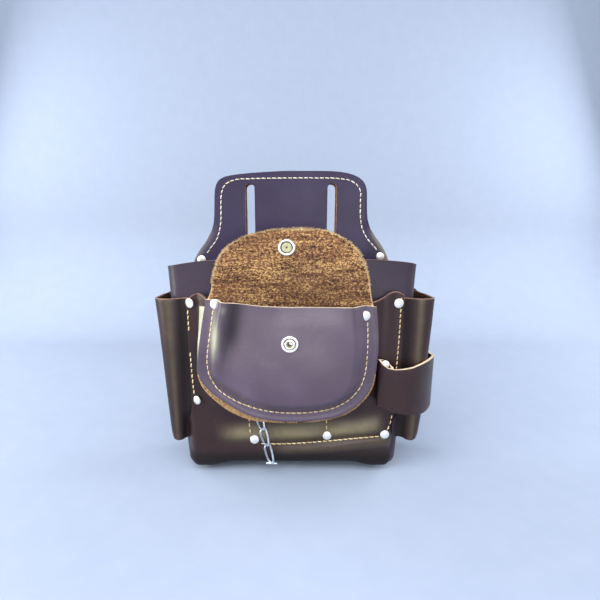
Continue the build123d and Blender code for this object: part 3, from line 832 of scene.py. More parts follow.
def sleeve(name, side, outer, inner, node):
    """A tapered tube from under the outer panel, round the bag's corner, to the rear panel."""

    def place(across, down):
        z = -73.8 - 143.7 * down
        xo, xi = table(outer, z), table(inner, z)
        result = np.empty((len(z), 3))
        for key in np.unique(np.round(z, 4)):
            row = np.abs(z - key) < 1e-3
            near, full = xi[row][0], (xo - xi)[row][0]
            puff = 0.55 + 0.45 * full / 29
            sunk = 3.6 * float(eased(-key, 182, 204))
            line = []
            for shift, share, deep in sleeve_section:
                swelled = SLEEVE_SEAT + (deep - SLEEVE_SEAT) * (puff if deep > 62 else 1)
                line.append((near + shift + share * full, swelled - sunk * (share < 0.1)))
            result[row, :2] = smooth_line(line, across[row])
        outward = eased(across, 0.3, 0.62)
        rearward = eased(across, 0.62, 0.9)
        z = z - (1 - down) ** 6 * (1.7 * outward + 1.6 * rearward)
        foot = (3.4 if side < 0 else 0.6) * eased(across, 0.36, 0.6) - 1.6 * (1 - eased(across, 0.1, 0.4))
        z = z + down**8 * foot
        return np.column_stack([result[:, 0] * side, result[:, 1], z])

    piece = skin(name, 52, 44, place)
    if side < 0:
        select_only(piece)
        mode("EDIT")
        bpy.ops.mesh.select_all(action="SELECT")
        bpy.ops.mesh.flip_normals()
        mode("OBJECT")
    as_leather(piece, grain_body, suede_inside, edge_brown, edge_width=0.45)

    def across_share(x, z):
        near, far = table(inner, z), table(outer, z)
        return (np.abs(x) - near) / (far - near)

    # Painted shade in the groove beside the seam, and a painted highlight down the front of the tube.
    store_painted_light(piece, "oil_stain", lambda x, depth, z: 0.75 * (1 - eased(across_share(x, z), 0.08, 0.34)))
    store_painted_light(piece, "hand_rub", lambda x, depth, z: 0.2 * ridge(across_share(x, z), 0.47, 0.12) * (depth > 55))
    placed(piece, "root", [node])


sleeve(
    "left_sleeve_leather", -1,
    [(-74, 128.8), (-103, 126.7), (-134, 125.0), (-177, 122.8), (-210, 120.8), (-218, 119.2)],
    [(-76, 100.6), (-137, 101.9), (-179, 103.8), (-226, 106.2)], "left_sleeve",
)
sleeve(
    "right_sleeve_leather", 1,
    [(-74, 136.0), (-98, 135.2), (-129, 133.6), (-195, 130.5), (-212, 128.6), (-218, 126.8)],
    [(-76, 107.6), (-126, 108.8), (-195, 111.6), (-226, 112.9)], "right_sleeve",
)


# ---------------- flap pocket
pocket_left = [
    (-71, -75), (-74.1, -75.6), (-85, -77.8), (-98.8, -80.3), (-112.8, -82.6), (-127, -84.2),
    (-134, -84.7), (-140.6, -84.4), (-146.4, -82.9), (-150.2, -80.6), (-153.9, -77.6), (-157.9, -74),
    (-161.8, -69.8), (-168.8, -60.6), (-175.4, -50.9), (-180.5, -41.7), (-183, -35.6), (-185.6, -26.6),
    (-187.3, -15), (-188, -4),
]
pocket_right = [
    (-71, 73.2), (-74.1, 73.8), (-89.5, 75.9), (-103.4, 77.2), (-117.5, 77.6), (-131.9, 76.9),
    (-144.5, 75.6), (-150, 74.8), (-154.3, 73.4), (-159, 71), (-163.3, 68.2), (-168.6, 64.2),
    (-173.4, 59.4), (-179.5, 50.3), (-182.6, 43.4), (-185, 35.6), (-187, 22), (-188, 6),
]
rear_leaf_left = [
    (-78.3, -82), (-99.5, -83.8), (-113.6, -84.9), (-128, -86), (-134.5, -86.5), (-139.7, -86.4),
    (-144.5, -86), (-148.5, -84.9), (-153.5, -83), (-158, -80.4), (-164.5, -75), (-173.1, -66),
    (-179.8, -57), (-184.4, -48), (-188, -38.6), (-189.6, -30.5), (-190.8, -17.2), (-191.3, -4),
]
rear_leaf_right = [
    (-78.3, 76.2), (-90.2, 77.7), (-104.2, 79), (-118.4, 79.5), (-132.8, 78.8), (-146.6, 77.6),
    (-152, 76.8), (-156.5, 75.3), (-161.5, 73.2), (-166.3, 70), (-176.5, 61), (-182.7, 51.7),
    (-187.8, 36.9), (-190.2, 21), (-191.3, 5),
]
LEAF_SEAT = 80.3


def rim_distance(x, z):
    """Distance of each point from the pocket's sewn outline."""
    edge = np.array([(px, pz) for pz, px in pocket_left + pocket_right[::-1]])
    joined = []
    for (x0, z0), (x1, z1) in zip(edge, edge[1:]):
        count = max(2, int(math.hypot(x1 - x0, z1 - z0) / 1.2))
        share = np.linspace(0, 1, count, endpoint=False)[:, None]
        joined.append(np.array([x0, z0]) + share * np.array([x1 - x0, z1 - z0]))
    edge = np.concatenate(joined)
    return np.sqrt(((x[:, None] - edge[:, 0]) ** 2 + (z[:, None] - edge[:, 1]) ** 2).min(axis=1))


def pocket_depth(x, z):
    """The front leaf: a flat sewn rim, a rise inside it, a soft fold at the left and a full middle."""
    rim = rim_distance(x, z)
    left = eased(-x, 36, 58) * (1 - eased(-z, 120, 160))
    rise = eased(rim, 7.5, 22.0 - 6.5 * left)
    full = 11.8 - 2.2 * eased(-z, 150, 186) - 1.6 * eased(np.abs(x), 30, 70)
    depth = LEAF_SEAT + LEATHER + 0.1 + rise * full
    upper = 1 - eased(-z, 112, 150)
    crest = 1.6 * ridge(x, -62.5, 4.5) * upper * eased(-z, 74, 100)
    past = x - fold_line(z)
    valley = 4.4 * np.where(past < 0, ridge(past, 0, 7.0), ridge(past, 0, 21.0)) * (1 - eased(-z, 96, 150))
    swell = 0.8 * ridge(x, -8, 18) * (1 - eased(-z, 110, 160))
    ripple = 0.4 * np.sin(x / 11 + z / 17) * np.sin(z / 13) * rise
    sag = 1.1 * ridge(x, 16, 34) * ridge(z, -148, 22)
    lip_dip = 1.3 * eased(z, -94, -76) * ridge(x, 8, 36)
    rim_lift = 0.9 * ridge(rim, 1.5, 2.5) * eased(-z, 80, 120)
    groove = 0.55 * ridge(rim, 8.6, 1.1)
    return depth + crest - valley + swell + ripple + sag - lip_dip + rim_lift - groove


def fold_line(z):
    """Where the soft fold down the pocket's left lies."""
    return -46.5 + 0.17 * (z + 72)


def pocket_lip(x):
    """Height of the pocket's mouth."""
    lip = [
        (-76, -71.4), (-66, -70.9), (-56, -72.2), (-44, -73.6), (-26, -75), (0, -75.6), (34, -75.8),
        (60, -76.4), (71, -77), (76, -78.6),
    ]
    return table(lip, x)


def mouth_lift(x, down):
    return (pocket_lip(x) + 71.0) * (1 - eased(down, 0, 0.45))


# Painted shade in the soft fold down the left.
def pocket_shade(x, depth, z):
    return 0.95 * ridge(x, fold_line(z) - 1, 8.6) * (1 - eased(-z, 98, 138)) * (depth > LEAF_SEAT)


# Painted highlight: beside the left seam, a glint by the rivet and a faint broad sheen in the middle.
def pocket_highlight(x, depth, z):
    seam_side = 0.85 * ridge(x, -67.2 + 0.04 * (z + 100), 3.6) * ridge(z, -103, 15)
    by_rivet = 0.4 * ridge(x, -58, 2.2) * ridge(z, -79, 3.2)
    return seam_side + by_rivet + 0.05 * ridge(x, -4, 48) * ridge(z, -104, 30)


# Painted reflection: a pale strip along the rear leaf's left rim.
def rear_leaf_highlight(x, depth, z):
    return 0.8 * (1 - eased(x - table(rear_leaf_left, z), 7, 10)) * (1 - eased(-z, 108, 132))


def rear_leaf_face(x, z):
    """Depth of the rear leaf's face, which leans back along its left edge."""
    rim = 1 - np.clip((x - table(rear_leaf_left, z)) / 7.5, 0, 1)
    return LEAF_SEAT - 3.4 * rim**1.5 * (1 - eased(-z, 96, 124))


front_leaf = flat_skin("pocket_front_leaf", pocket_left, pocket_right, 84, 2.0, pocket_depth, mouth_lift)
as_leather(front_leaf, pocket_grain_sheen, suede_inside, edge_cream, edge_width=0.8)
store_painted_light(front_leaf, "oil_stain", pocket_shade)
store_painted_light(front_leaf, "hand_rub", pocket_highlight)
placed(front_leaf, "root", ["pocket_front"])

rear_leaf = flat_skin("pocket_rear_leaf", rear_leaf_left, rear_leaf_right, 90, 3.0, rear_leaf_face)
dress(rear_leaf, pocket_grain_sheen, grain_body, edge_tan, suede_pale)
thicken(rear_leaf)
soften(rear_leaf, 0.5)
# Pale flesh shows on the rear of the leaf where it stands clear of the panel, below 143 mm.
for side in rear_leaf.data.polygons:
    if side.normal.y < -0.5 and side.center.z < -0.143:
        side.material_index = EXTRA
smooth(rear_leaf, 50)
store_painted_light(rear_leaf, "hand_rub", rear_leaf_highlight)
placed(rear_leaf, "root", ["pocket_back"])


# ---------------- flap
FOLD_Z = -57.2
TIP_LEAN = math.radians(24.1)
FLAP_FOOT, FLAP_SPLIT, FLAP_END = -22.8, -9.8, 51.5  # lengths along the flap from its bend
flap_left = [
    (-22.8, -75.6), (-18, -75.4), (-14.5, -74.4), (-11, -72.8), (-7, -71.3), (0.5, -70.3), (10.5, -68.8),
    (19.7, -66.3), (26, -63.6), (30.9, -60.4), (34.5, -56.6), (38, -51.8), (41.8, -45.6), (44.4, -39.6),
    (46.3, -33.6), (48.4, -24.6), (50.2, -14.4), (51.1, -4), (51.5, 6),
]
flap_right = [
    (-22.8, 74.6), (-19.3, 72.9), (-10, 70.8), (-1.3, 69.4), (12.3, 67.6), (18, 66.3), (22.5, 64.6),
    (26.8, 62.6), (30.9, 60), (34.2, 57.2), (37.2, 54.2), (40, 50.4), (42.6, 46.4), (45.6, 41),
    (48.3, 35.4), (50, 28), (51.1, 19), (51.5, 11),
]


def flap_line(along):
    """Depth and height of the flap's inner face, along from its bend: upright below, leaning back above."""
    steps = np.linspace(FLAP_FOOT, 52, 750)
    angle = TIP_LEAN * eased(steps, -7, 7)
    width = steps[1] - steps[0]
    depth = LEAF_SEAT - np.cumsum(np.sin(angle)) * width
    height = FOLD_Z + FLAP_FOOT + np.cumsum(np.cos(angle)) * width
    return np.interp(along, steps, depth), np.interp(along, steps, height)


fray = np.random.default_rng(11)
FRAY_SPOTS = np.linspace(-24, 52, 90)


def frayed():
    """A wandering ragged line, in millimetres at each fray spot."""
    count = len(FRAY_SPOTS)
    return np.cumsum(fray.normal(0, 0.34, count)) * 0.35 + fray.normal(0, 0.46, count)


frayed_left, frayed_right = frayed(), frayed()


def flap_skin(name, low, high):
    """The flap between two lengths from its bend, with ragged edges and a wavy free end."""
    levels = [s for s in row_levels(flap_left + flap_right, 1.2) if low + 0.1 < s < high - 0.1]
    levels = [high, *levels, low]

    def place(across, down):
        along = at_level(levels, down)
        ragged = eased(along, 2, 14)
        left = table(flap_left, along) + ragged * np.interp(along, FRAY_SPOTS, frayed_left)
        right = table(flap_right, along) + ragged * np.interp(along, FRAY_SPOTS, frayed_right)
        x = left + (right - left) * across
        depth, z = flap_line(along)
        free = eased(along, -4, 30)
        wave = 0.9 * np.sin(x / 17 + 0.6) * free + 0.5 * np.sin(x / 9 + along / 12) * free
        folds = 0.5 * np.sin(along / 1.9 + np.sin(x / 15) * 1.6)
        folds = folds * eased(along, -4, 4) * (1 - eased(along, 12, 24))
        curl = 2.2 * eased(np.abs(x) + along * 0.25, 62, 76) * eased(along, -2, 16)
        # Room for the pocket's lip when the flap is closed over it.
        clear = 4.6 * ridge(x, -58, 26) * eased(along, -19.5, -11) * (1 - eased(along, -3, 8))
        return np.column_stack([x, depth + wave + folds - curl - clear, z])

    piece = skin(name, 118, len(levels) - 1, place)
    dress(piece, suede_flap, pocket_grain_sheen, suede_fringe)
    return piece


# Painted shade: a little everywhere, more towards the creased bend in the middle.
def flap_shade(x, depth, z):
    return 0.02 + 0.34 * eased(-z, 26, 50) * ridge(x, 6, 60)


# Painted highlight: a golden streak across the flap.
def flap_highlight(x, depth, z):
    return 0.7 * ridge(z, -44 + 0.05 * x, 5) * (1 - 0.5 * ridge(x, 8, 16))


def flap_thickness(piece, high):
    """Thickness, a rough flesh side and a pale fringe along the cut edge."""
    thicken(piece)
    flesh = np.zeros(len(piece.data.vertices), bool)
    outer = np.zeros(len(piece.data.vertices), bool)
    for face in piece.data.polygons:
        (flesh if face.material_index == FRONT else outer)[list(face.vertices)] = True
    places = points_of(piece)
    rough = flesh & ~outer
    places[rough, 1] -= np.abs(fray.normal(0, 0.24, rough.sum())) * MM
    set_points(piece, places)
    for face in piece.data.polygons:
        x, z = face.center.x / MM, face.center.z / MM
        along = (z - FOLD_Z) / math.cos(TIP_LEAN) if z > FOLD_Z else z - FOLD_Z
        end = (high - along) * 1.2 if high > 0 else 9
        rim = min(x - table(flap_left, along), table(flap_right, along) - x, end)
        if face.material_index == FRONT and rim < 0.9 + 1.5 * fray.random():
            face.material_index = EDGE
    store_painted_light(piece, "oil_stain", flap_shade)
    store_painted_light(piece, "hand_rub", flap_highlight)
    smooth(piece, 70)


def fringe(flap, count):
    """Loose fibres along the cut edge, joined to the flap."""
    fibre = added("cone", vertices=4, radius1=0.36 * MM, radius2=0.08 * MM, depth=2.6 * MM)
    dress(fibre, suede_fringe)
    edge = [(x, s) for s, x in flap_left if s > -4] + [(x, s) for s, x in flap_right[::-1] if s > -4]
    spots = smooth_line(edge, np.sort(fray.random(count)))
    matrices = []
    for x, along in spots:
        depth, z = flap_line(along)
        place = (x * 0.997, float(depth) - 0.5 + fray.normal(0, 0.5), float(z))
        out = (x / 70 + fray.normal(0, 0.5), fray.normal(0.35, 0.3), along / 52 + fray.normal(0, 0.5))
        matrices.append(facing(place, out) @ Matrix.Scale(fray.uniform(0.6, 1.25), 4))
    hairs = copies("flap_fibres", fibre, matrices)
    select_only(flap)
    hairs.select_set(True)
    bpy.ops.object.join()


def flap_part(name, low, high, node, fibres=0):
    piece = flap_skin(name, low, high)
    flap_thickness(piece, high)
    if fibres:
        fringe(piece, fibres)
    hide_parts(node)
    return piece


flap_root = flap_part("flap_root_leather", FLAP_FOOT, FLAP_SPLIT, "flap_fold")
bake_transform(flap_root)
flap_tip = flap_part("flap_leather", FLAP_SPLIT, FLAP_END, "flap", fibres=520)
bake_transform(flap_tip)


# ---------------- strap loop
# The loop's line from its front rivet round to the rear, (x, depth), and its edges, (share, height).
strap_line = [
    (95.2, 75.3), (96.3, 72.6), (94.6, 70), (91, 68.7), (87, 68.6), (83.8, 69.8), (81.6, 72.4),
    (81.8, 75.4), (84.6, 77.6), (89.5, 78.8), (97, 79.4), (105, 79), (113, 77.3), (121, 73.8),
    (128.5, 68.5), (135, 62), (140.5, 54), (144, 45), (145.4, 34), (145, 20), (143, 10), (139, 5.8),
    (132, 5.1), (118, 5),
]
strap_top = [
    (0, -139), (0.03, -138), (0.06, -134.3), (0.085, -131.8), (0.11, -130.8), (0.135, -129.9),
    (0.15, -130.6), (0.165, -133.6), (0.195, -137), (0.24, -138.4), (0.29, -138), (0.34, -137.2),
    (0.39, -135.6), (0.445, -134.6), (0.50, -134), (0.56, -134.2), (0.62, -136), (0.69, -138.2),
    (1, -138.5),
]
strap_foot = [
    (0, -176), (0.165, -176.5), (0.24, -181.2), (0.34, -184.8), (0.445, -187.3), (0.50, -187),
    (0.56, -186), (0.69, -184.2), (1, -184.5),
]


def strap_place(across, down):
    line = smooth_line(strap_line, across)
    top, foot = table(strap_top, across), table(strap_foot, across)
    return np.column_stack([line, top + (foot - top) * down])


strap = skin("strap_leather", 132, 24, strap_place)
as_leather(strap, grain_body, suede_inside, edge_cream, edge_width=0.95)
# The lower cut edge takes the dark edge as painted shade under the loop; the upper one stays cream.
edge_by_place(strap, edge_dark, lambda middle: middle[:, 2] < -160)
placed(strap, "root", ["tape_loop"])


# ---------------- rivets and snap
# Turned profiles list (radius, height).
CAP = [(4.5, 0.5), (4.35, 0.85), (3.8, 1.15), (3.0, 1.42), (2.0, 1.62), (1.0, 1.72), (0.3, 1.74)]


def rivet_group(name, places, nodes, cap_scale=1.0):
    """Rivet caps at places (x, depth, z, normal), each turned and leaned a little on its own."""
    model = turned(CAP, nickel)
    matrices = []
    for x, depth, z, normal in places:
        lean = (normal[0] + dice.uniform(-0.04, 0.04), normal[1], normal[2] + dice.uniform(-0.04, 0.04))
        matrices.append(facing((x, depth, z), lean, dice.uniform(0, 6)) @ Matrix.Scale(cap_scale, 4))
    placed(copies(name, model, matrices), "root", nodes)


def on_pocket(x, z, lift):
    """Depth a little above the pocket's face."""
    return float(pocket_depth(np.array([x]), np.array([z]))[0]) + lift


forward = (0, 1, 0)
rivet_group("shoulder_caps", [(-94.5, 4.6, -44.2, forward), (94.1, 4.2, -41.0, forward)], ["shoulder_rivets"])
left_caps = [(-93.6, 65.9, -77.9, (-0.45, 1, 0)), (-91.8, 65.3, -175.0, (-0.5, 1, 0))]
rivet_group("seam_caps", left_caps + [(99.6, 65.4, -78.1, (0.1, 1, 0))], ["seam_rivets"])
inner_caps = [(-36.5, 64.6, -217.9, (0, 1, 0.05)), (36.0, 64.4, -213.7, (0, 1, 0.05))]
rivet_group("hem_caps", inner_caps + [(93.1, 65.9, -211.5, (0.05, 1, 0))], ["hem_rivets"])
left_cap = (-66.5, on_pocket(-66.5, -75.2, 0.2), -74.9, (-0.12, 1, 0.05))
right_cap = (65.7, on_pocket(65.7, -85.6, -0.3), -85.6, (0.08, 1, 0))
rivet_group("pocket_caps", [left_cap, right_cap], ["pocket_rivets"])
strap_caps = [(88.4, 71.0, -136.2, (0.1, 1, 0.3)), (132.5, 5.2, -161.5, forward)]
rivet_group("strap_caps", strap_caps, ["loop_rivets"], 0.93)
rivet_group("chain_cap", [(-36.5, 63.9, -157.0, forward)], ["chain_rivet"])

tip_normal = Vector((0, math.cos(TIP_LEAN), math.sin(TIP_LEAN)))


def on_flap(x, along, lift):
    """A point a little above the flap's inner face."""
    depth, z = flap_line(along)
    return (x, float(depth) + lift * tip_normal.y, float(z) + lift * tip_normal.z)


SOCKET_X, SOCKET_ALONG = -3.9, 32.6
SOCKET = [
    (7.3, 0.5), (7.6, 1), (7.5, 1.7), (7, 2.15), (6.3, 2.2), (5.9, 1.9), (5.6, 1.1), (5.3, 0.6),
    (4.9, 0.6), (4.6, 1.1), (3.8, 1.35), (2.6, 1.4), (1.5, 1.3), (0.9, 0.9), (0.4, 0.8),
]
OUTER_CAP = [(7.5, 0.4), (7.4, 0.9), (6.9, 1.3), (5.8, 1.6), (4.0, 1.85), (2.0, 2.0), (0.4, 2.05)]
STUD_X, STUD_Z = -1.1, -107.8
STUD = [
    (7.2, 0.35), (7.45, 0.75), (7.2, 1.15), (6.4, 1.3), (5.6, 1.15), (5.2, 0.7), (4.8, 0.7), (4.6, 1.3),
    (4.4, 2.1), (4.1, 2.5), (3.6, 2.65), (3.1, 2.5), (2.6, 2), (2.1, 1.4), (1.8, 0.8), (1.6, 0.1),
    (0.4, 0.05),
]


def snap_part(name, profile, rings, matrix, body, node):
    """A turned part of the snap with rings of other metal, each (metal, inner radius, outer radius): painted
    shade in a groove and the middle, worn nickel between.
    """
    model = turned(profile, nickel, 48)
    for ring in rings:
        shade_and_wear_ring(model, *ring)
    placed(copies(name, model, [matrix]), body, [node])


# Painted shade in the groove and the middle, worn nickel between them.
socket_rings = [(nickel_painted_shade, 4.75, 5.75), (nickel_worn, 1.2, 4.7), (nickel_painted_shade, 0.0, 1.2)]
socket_place = facing(on_flap(SOCKET_X, SOCKET_ALONG, 0.2), tip_normal)
snap_part("snap_socket_ring", SOCKET, socket_rings, socket_place, "flap", "snap_socket")
cap_place = facing(on_flap(SOCKET_X, SOCKET_ALONG, -LEATHER), -tip_normal)
snap_part("snap_outer_cap", OUTER_CAP, [], cap_place, "flap", "snap_cap")
stud_rings = [(nickel_painted_shade, 0.0, 1.9), (nickel_worn, 1.9, 3.2), (nickel_painted_shade, 4.65, 5.45)]
stud_place = facing((STUD_X, on_pocket(STUD_X, STUD_Z, -0.1), STUD_Z), forward)
snap_part("snap_stud_ring", STUD, stud_rings, stud_place, "root", "snap_stud")


# ---------------- chain
joint_places = {j["child"]: Vector(j["pos_m"]) for j in frame["joints"]}
chain_bodies = ["chain_link_1", "chain_link_2", "chain_link_3", "chain_bar"]


def wire_loop(name, length, width, wire, twist):
    """A wire oval with its top bar at the origin, hanging down, twisted along its length."""
    loop = added(
        "torus", major_radius=(width - wire) / 2 * MM, minor_radius=wire / 2 * MM, major_segments=40,
        minor_segments=10, rotation=(math.pi / 2, 0, 0),
    )
    loop.name = name
    bpy.ops.object.transform_apply(rotation=True)
    places = points_of(loop)
    part_middle(places, (length - width) / 2 * MM)
    angle = twist * places[:, 2] / (length * MM)
    x = places[:, 0] * np.cos(angle) - places[:, 1] * np.sin(angle)
    y = places[:, 0] * np.sin(angle) + places[:, 1] * np.cos(angle)
    places[:, 0], places[:, 1] = x, y
    places[:, 2] -= (length - wire) / 2 * MM
    set_points(loop, places)
    dress(loop, steel)
    return smooth(loop, 60)


LINK_LENGTH, LAST_LENGTH, LINK_WIDTH, WIRE = 21.0, 23.0, 8.4, 2.25
down_line = (joint_places["chain_link_3"] - joint_places["chain_link_1"]).normalized()
across = Vector((-down_line.z, 0, down_line.x)).normalized()
hang = Matrix((across, (-down_line).cross(across), -down_line)).transposed().to_4x4()
for body in chain_bodies:
    length = LAST_LENGTH if body == "chain_bar" else LINK_LENGTH
    loop = wire_loop(body + "_wire", length, LINK_WIDTH, WIRE, math.pi / 2)
    loop.data.transform(Matrix.Translation(joint_places[body]) @ hang)
    placed(loop, body, [body])

end_bar = added("uv_sphere", segments=16, ring_count=12, radius=1.2 * MM)
end_bar.name = "chain_end_bar"
places = points_of(end_bar)
part_middle(places, 4.6 * MM)
set_points(end_bar, places)
tilt = (across + Vector((0, 0, -0.25))).to_track_quat("Z", "Y").to_matrix().to_4x4()
end_bar.data.transform(Matrix.Translation(joint_places["chain_bar"] + down_line * 21.5 * MM) @ tilt)
dress(end_bar, steel)
smooth(end_bar, 60)
placed(end_bar, "chain_bar")

for name, material in (("rivet_backs", nickel), ("snap_post", nickel), ("chain_tab", steel)):
    shown = frame["nodes"][name]
    shown.data.materials.clear()
    dress(shown, material)


# ---------------- stitching
def stitch_model(length, thick):
    """One stitch lying along x, whose ends dip into their holes."""
    model = added("uv_sphere", segments=6, ring_count=7, radius=0.5 * MM)
    places = points_of(model) / MM
    along = np.sign(places[:, 2]) * np.abs(places[:, 2] * 2) ** 0.75 / 2
    places = np.column_stack([along * length, places[:, 0] * thick, places[:, 1] * thick])
    places[:, 2] -= 1.7 * thick * (2 * along) ** 4 * 0.5 - 0.2 * thick
    set_points(model, places * MM)
    bpy.ops.object.shade_smooth()
    return model


NEAR = 0.4  # how far off a surface's slope is measured


def seam(name, points, surface, pitch, length, thick, thread, tilt=0.0):
    """Stitches along a line of (x, z) on a surface whose depth is surface(x, z). tilt turns each one a
    little across the line."""
    line = np.asarray(points, float)
    total = np.linalg.norm(np.diff(line, axis=0), axis=1).sum()
    count = max(1, round(total / pitch))
    middles = (np.arange(count) + 0.5) / count
    spots = smooth_line(line, middles)
    ahead = smooth_line(line, np.clip(middles + 0.5 * length / total, 0, 1))
    behind = smooth_line(line, np.clip(middles - 0.5 * length / total, 0, 1))
    model = stitch_model(length, thick)
    dress(model, thread)
    matrices = []
    for spot, front, back in zip(spots, ahead, behind):
        xs = np.array([spot[0], front[0], back[0], spot[0] + NEAR, spot[0]])
        zs = np.array([spot[1], front[1], back[1], spot[1], spot[1] + NEAR])
        deep = surface(xs, zs)
        normal = Vector((-(deep[3] - deep[0]) / NEAR, -1, -(deep[4] - deep[0]) / NEAR)).normalized()
        along = Vector((front[0] - back[0], -(deep[1] - deep[2]), front[1] - back[1])).normalized()
        along = along.lerp(along.cross(normal), tilt).normalized()
        cross = normal.cross(along).normalized()
        up = along.cross(cross)
        place = Vector((spot[0], -deep[0], spot[1]))
        turn = Matrix((along, cross, up)).transposed().to_4x4()
        size = Matrix.Scale(dice.uniform(0.94, 1.06), 4)
        matrices.append(Matrix.Translation(place * MM) @ turn @ size)
    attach(copies(name, model, matrices), "root")


yoke_seam = [
    (-88.5, -37.6), (-84.6, -32), (-78.2, -23.6), (-74.4, -13.3), (-72.7, -3.1), (-72.1, 12),
    (-71.3, 22.5), (-69, 29.5), (-64, 34.3), (-56.5, 36.9), (-41.6, 37.9), (-20, 38.4), (0, 38.6),
    (25, 38.6), (49.7, 37.9), (59.9, 36.2), (67.2, 31.8), (70.7, 26.4), (71.3, 17), (72, -1), (74, -11.2),
    (79.4, -21.5), (85.1, -28.2), (90.6, -34.2),
]
pocket_seam = [
    (-68.6, -80.4), (-70.3, -89.4), (-71.6, -98.6), (-74.1, -112.6), (-75.9, -124.8), (-75.4, -136.5),
    (-72.4, -147), (-67.6, -154.9), (-60.6, -161), (-47.3, -169.2), (-38.1, -173.1), (-27, -176.3),
    (-14.9, -178.5), (-0.9, -179.4), (17.7, -178.8), (31.7, -176.5), (45.5, -171.3), (56.4, -163.1),
    (63.5, -153.4), (67.4, -141.3), (68.9, -122), (68.7, -103.2), (68, -91.5),
]
hem_seam = [
    (-30.5, -223.9), (-21, -224), (-1, -223.7), (19, -222.4), (39, -220.5), (59, -217.9), (79, -215.5),
    (88.4, -214.3),
]
right_side_seam = [
    (101.8, -72.4), (101.9, -83.7), (101.9, -99.1), (101.8, -113.8), (101.4, -128.8), (101, -143.9),
    (100.4, -186),
]


def hem_face(x, z):
    """Depth of the hem's stitches, whatever their height."""
    return panel_depth(x, hem_height(x)) + 0.3


YOKE_STITCH = (5.35, 5.3, 1.2, thread_cream)
FACE_STITCH = (5.2, 4.8, 1.25, thread_gold)
SLOT_STITCH = (5.4, 4.6, 1.25, thread_gold)
foot_seam = [(-60, -43.4), (-20, -43.4), (20, -43.2), (60, -42.6)]
left_side_seam = [(-95.9, -125.5), (-95.5, -140), (-95, -155), (-94.2, -169.5)]
seam("yoke_stitches", yoke_seam, yoke_face, *YOKE_STITCH, tilt=0.08)
seam("yoke_foot_stitches", foot_seam, yoke_face, *YOKE_STITCH)
seam("pocket_stitches", pocket_seam, pocket_depth, 5.2, 5.7, 1.25, thread_gold, tilt=0.07)
seam("hem_stitches", hem_seam, hem_face, 5.3, 5.2, 1.2, thread_gold, tilt=0.08)
seam("corner_stitches", [(95.4, -207.4), (98.3, -200.6), (99.8, -191.2)], panel_depth, *FACE_STITCH)
seam("left_inner_stitches", [(-41.4, -194), (-41.3, -203.6), (-40.4, -212.2)], panel_depth, *SLOT_STITCH)
seam("right_inner_stitches", [(35, -190), (35.6, -208)], panel_depth, *SLOT_STITCH)
seam("left_top_stitches", [(-96, -84.2), (-95.9, -105.4)], panel_depth, *FACE_STITCH, tilt=0.1)
seam("left_side_stitches", left_side_seam, panel_depth, *FACE_STITCH, tilt=0.1)
seam("right_side_stitches", right_side_seam, panel_depth, *FACE_STITCH, tilt=0.1)


# ---------------- floor, backdrop and lamps
def shows_background(tree):
    """1 for rays from the camera, off shiny faces and through clear ones, and 0 for all others."""
    ray = tree.nodes.new("ShaderNodeLightPath")
    total = ray.outputs["Is Camera Ray"]
    for kind in ("Is Glossy Ray", "Is Transmission Ray"):
        either = tree.nodes.new("ShaderNodeMath")
        either.operation = "MAXIMUM"
        tree.links.new(total, either.inputs[0])
        tree.links.new(ray.outputs[kind], either.inputs[1])
        total = either.outputs[0]
    return total


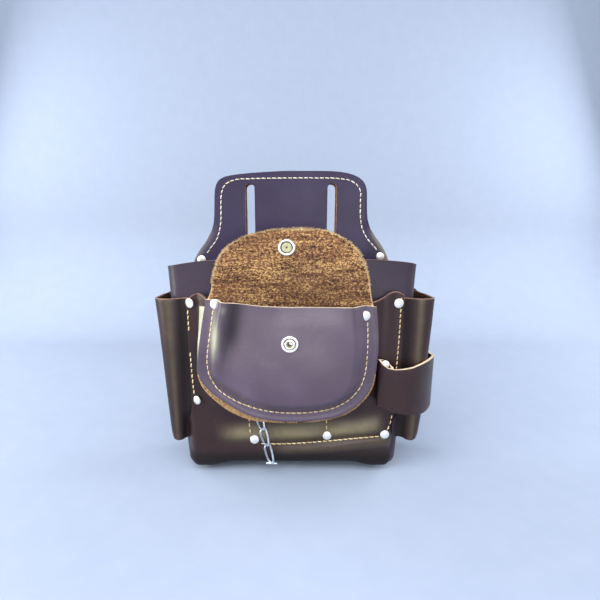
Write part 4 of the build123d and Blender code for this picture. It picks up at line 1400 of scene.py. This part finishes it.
def studio_floor():
    """A pale floor that curves up into a backdrop, in metres. It lights the object less than it shows."""
    level, bend, start = -0.2585, 0.25, 0.35

    def place(across, along):
        turn = np.clip((along - 0.4) / 0.2, 0, 1) * math.pi / 2
        y = start + bend * np.sin(turn) - 2.8 * np.clip((0.4 - along) / 0.4, 0, 1)
        z = level + bend * (1 - np.cos(turn)) + 2.0 * np.clip((along - 0.6) / 0.4, 0, 1)
        return np.column_stack([(across - 0.5) * 5.2, y, z])

    floor = added("grid", x_subdivisions=2, y_subdivisions=100, size=1)
    floor.name = "studio_floor"
    flat = points_of(floor)
    set_points(floor, place(flat[:, 0] + 0.5, flat[:, 1] + 0.5))
    bpy.ops.object.shade_smooth()
    paint = Paint("pale_paper")
    pale_low, pale_high, dim = tones((164, 177, 200), (174, 186, 208), (79, 82, 92))
    pale = paint.mix(paint.noise(40, 4, 0.6), pale_low, pale_high)
    seen = Value(paint, shows_background(paint.tree))
    dress(floor, paint.finish(paint.mix(seen, dim, pale), 0.9, Specular_IOR_Level=0.1))


def soft_lamp(name, place, aim, size, power, colour):
    """A rectangular lamp at a place, turned to its aim, both in metres."""
    lamp = bpy.data.lights.new(name, "AREA")
    lamp.shape = "RECTANGLE"
    lamp.size, lamp.size_y = size
    lamp.energy = power
    lamp.color = colour
    holder = bpy.data.objects.new(name, lamp)
    holder.location = place
    holder.rotation_euler = (Vector(aim) - Vector(place)).to_track_quat("-Z", "Y").to_euler()
    bpy.context.scene.collection.objects.link(holder)


studio_floor()
soft_lamp("sky_panel", (-0.15, -0.70, 0.95), (0, 0, -0.1), (1.3, 0.9), 15, (0.96, 0.97, 1.0))
soft_lamp("left_panel", (-0.80, -0.42, 0.02), (0, -0.06, -0.12), (0.34, 0.55), 6.5, (1.0, 1.0, 0.88))
soft_lamp("right_panel", (0.95, -0.22, 0.30), (0.05, -0.05, -0.05), (0.40, 0.60), 4.0, (1.0, 1.0, 0.90))
soft_lamp("rear_left_panel", (-0.85, 0.30, 0.25), (0, 0, -0.1), (0.4, 0.5), 4.0, (0.96, 0.98, 1.0))
soft_lamp("rear_right_panel", (0.85, 0.30, 0.25), (0, 0, -0.1), (0.4, 0.5), 4.0, (0.96, 0.98, 1.0))
soft_lamp("front_panel", (0.14, -0.95, -0.05), (0.02, 0, -0.14), (0.36, 0.34), 2.6, (1.0, 0.97, 0.95))

SKY_LIGHT, SKY_SHOWN = 0.55, 0.95
world = bpy.data.worlds.new("studio")
bpy.context.scene.world = world
world.use_nodes = True
sky = world.node_tree.nodes["Background"]
sky.inputs["Color"].default_value = tones((200, 210, 228))[0]
lift = world.node_tree.nodes.new("ShaderNodeMath")
lift.operation = "MULTIPLY_ADD"
lift.inputs[1].default_value, lift.inputs[2].default_value = SKY_SHOWN - SKY_LIGHT, SKY_LIGHT
world.node_tree.links.new(shows_background(world.node_tree), lift.inputs[0])
world.node_tree.links.new(lift.outputs[0], sky.inputs["Strength"])
bpy.context.scene.view_settings.view_transform = "Standard"
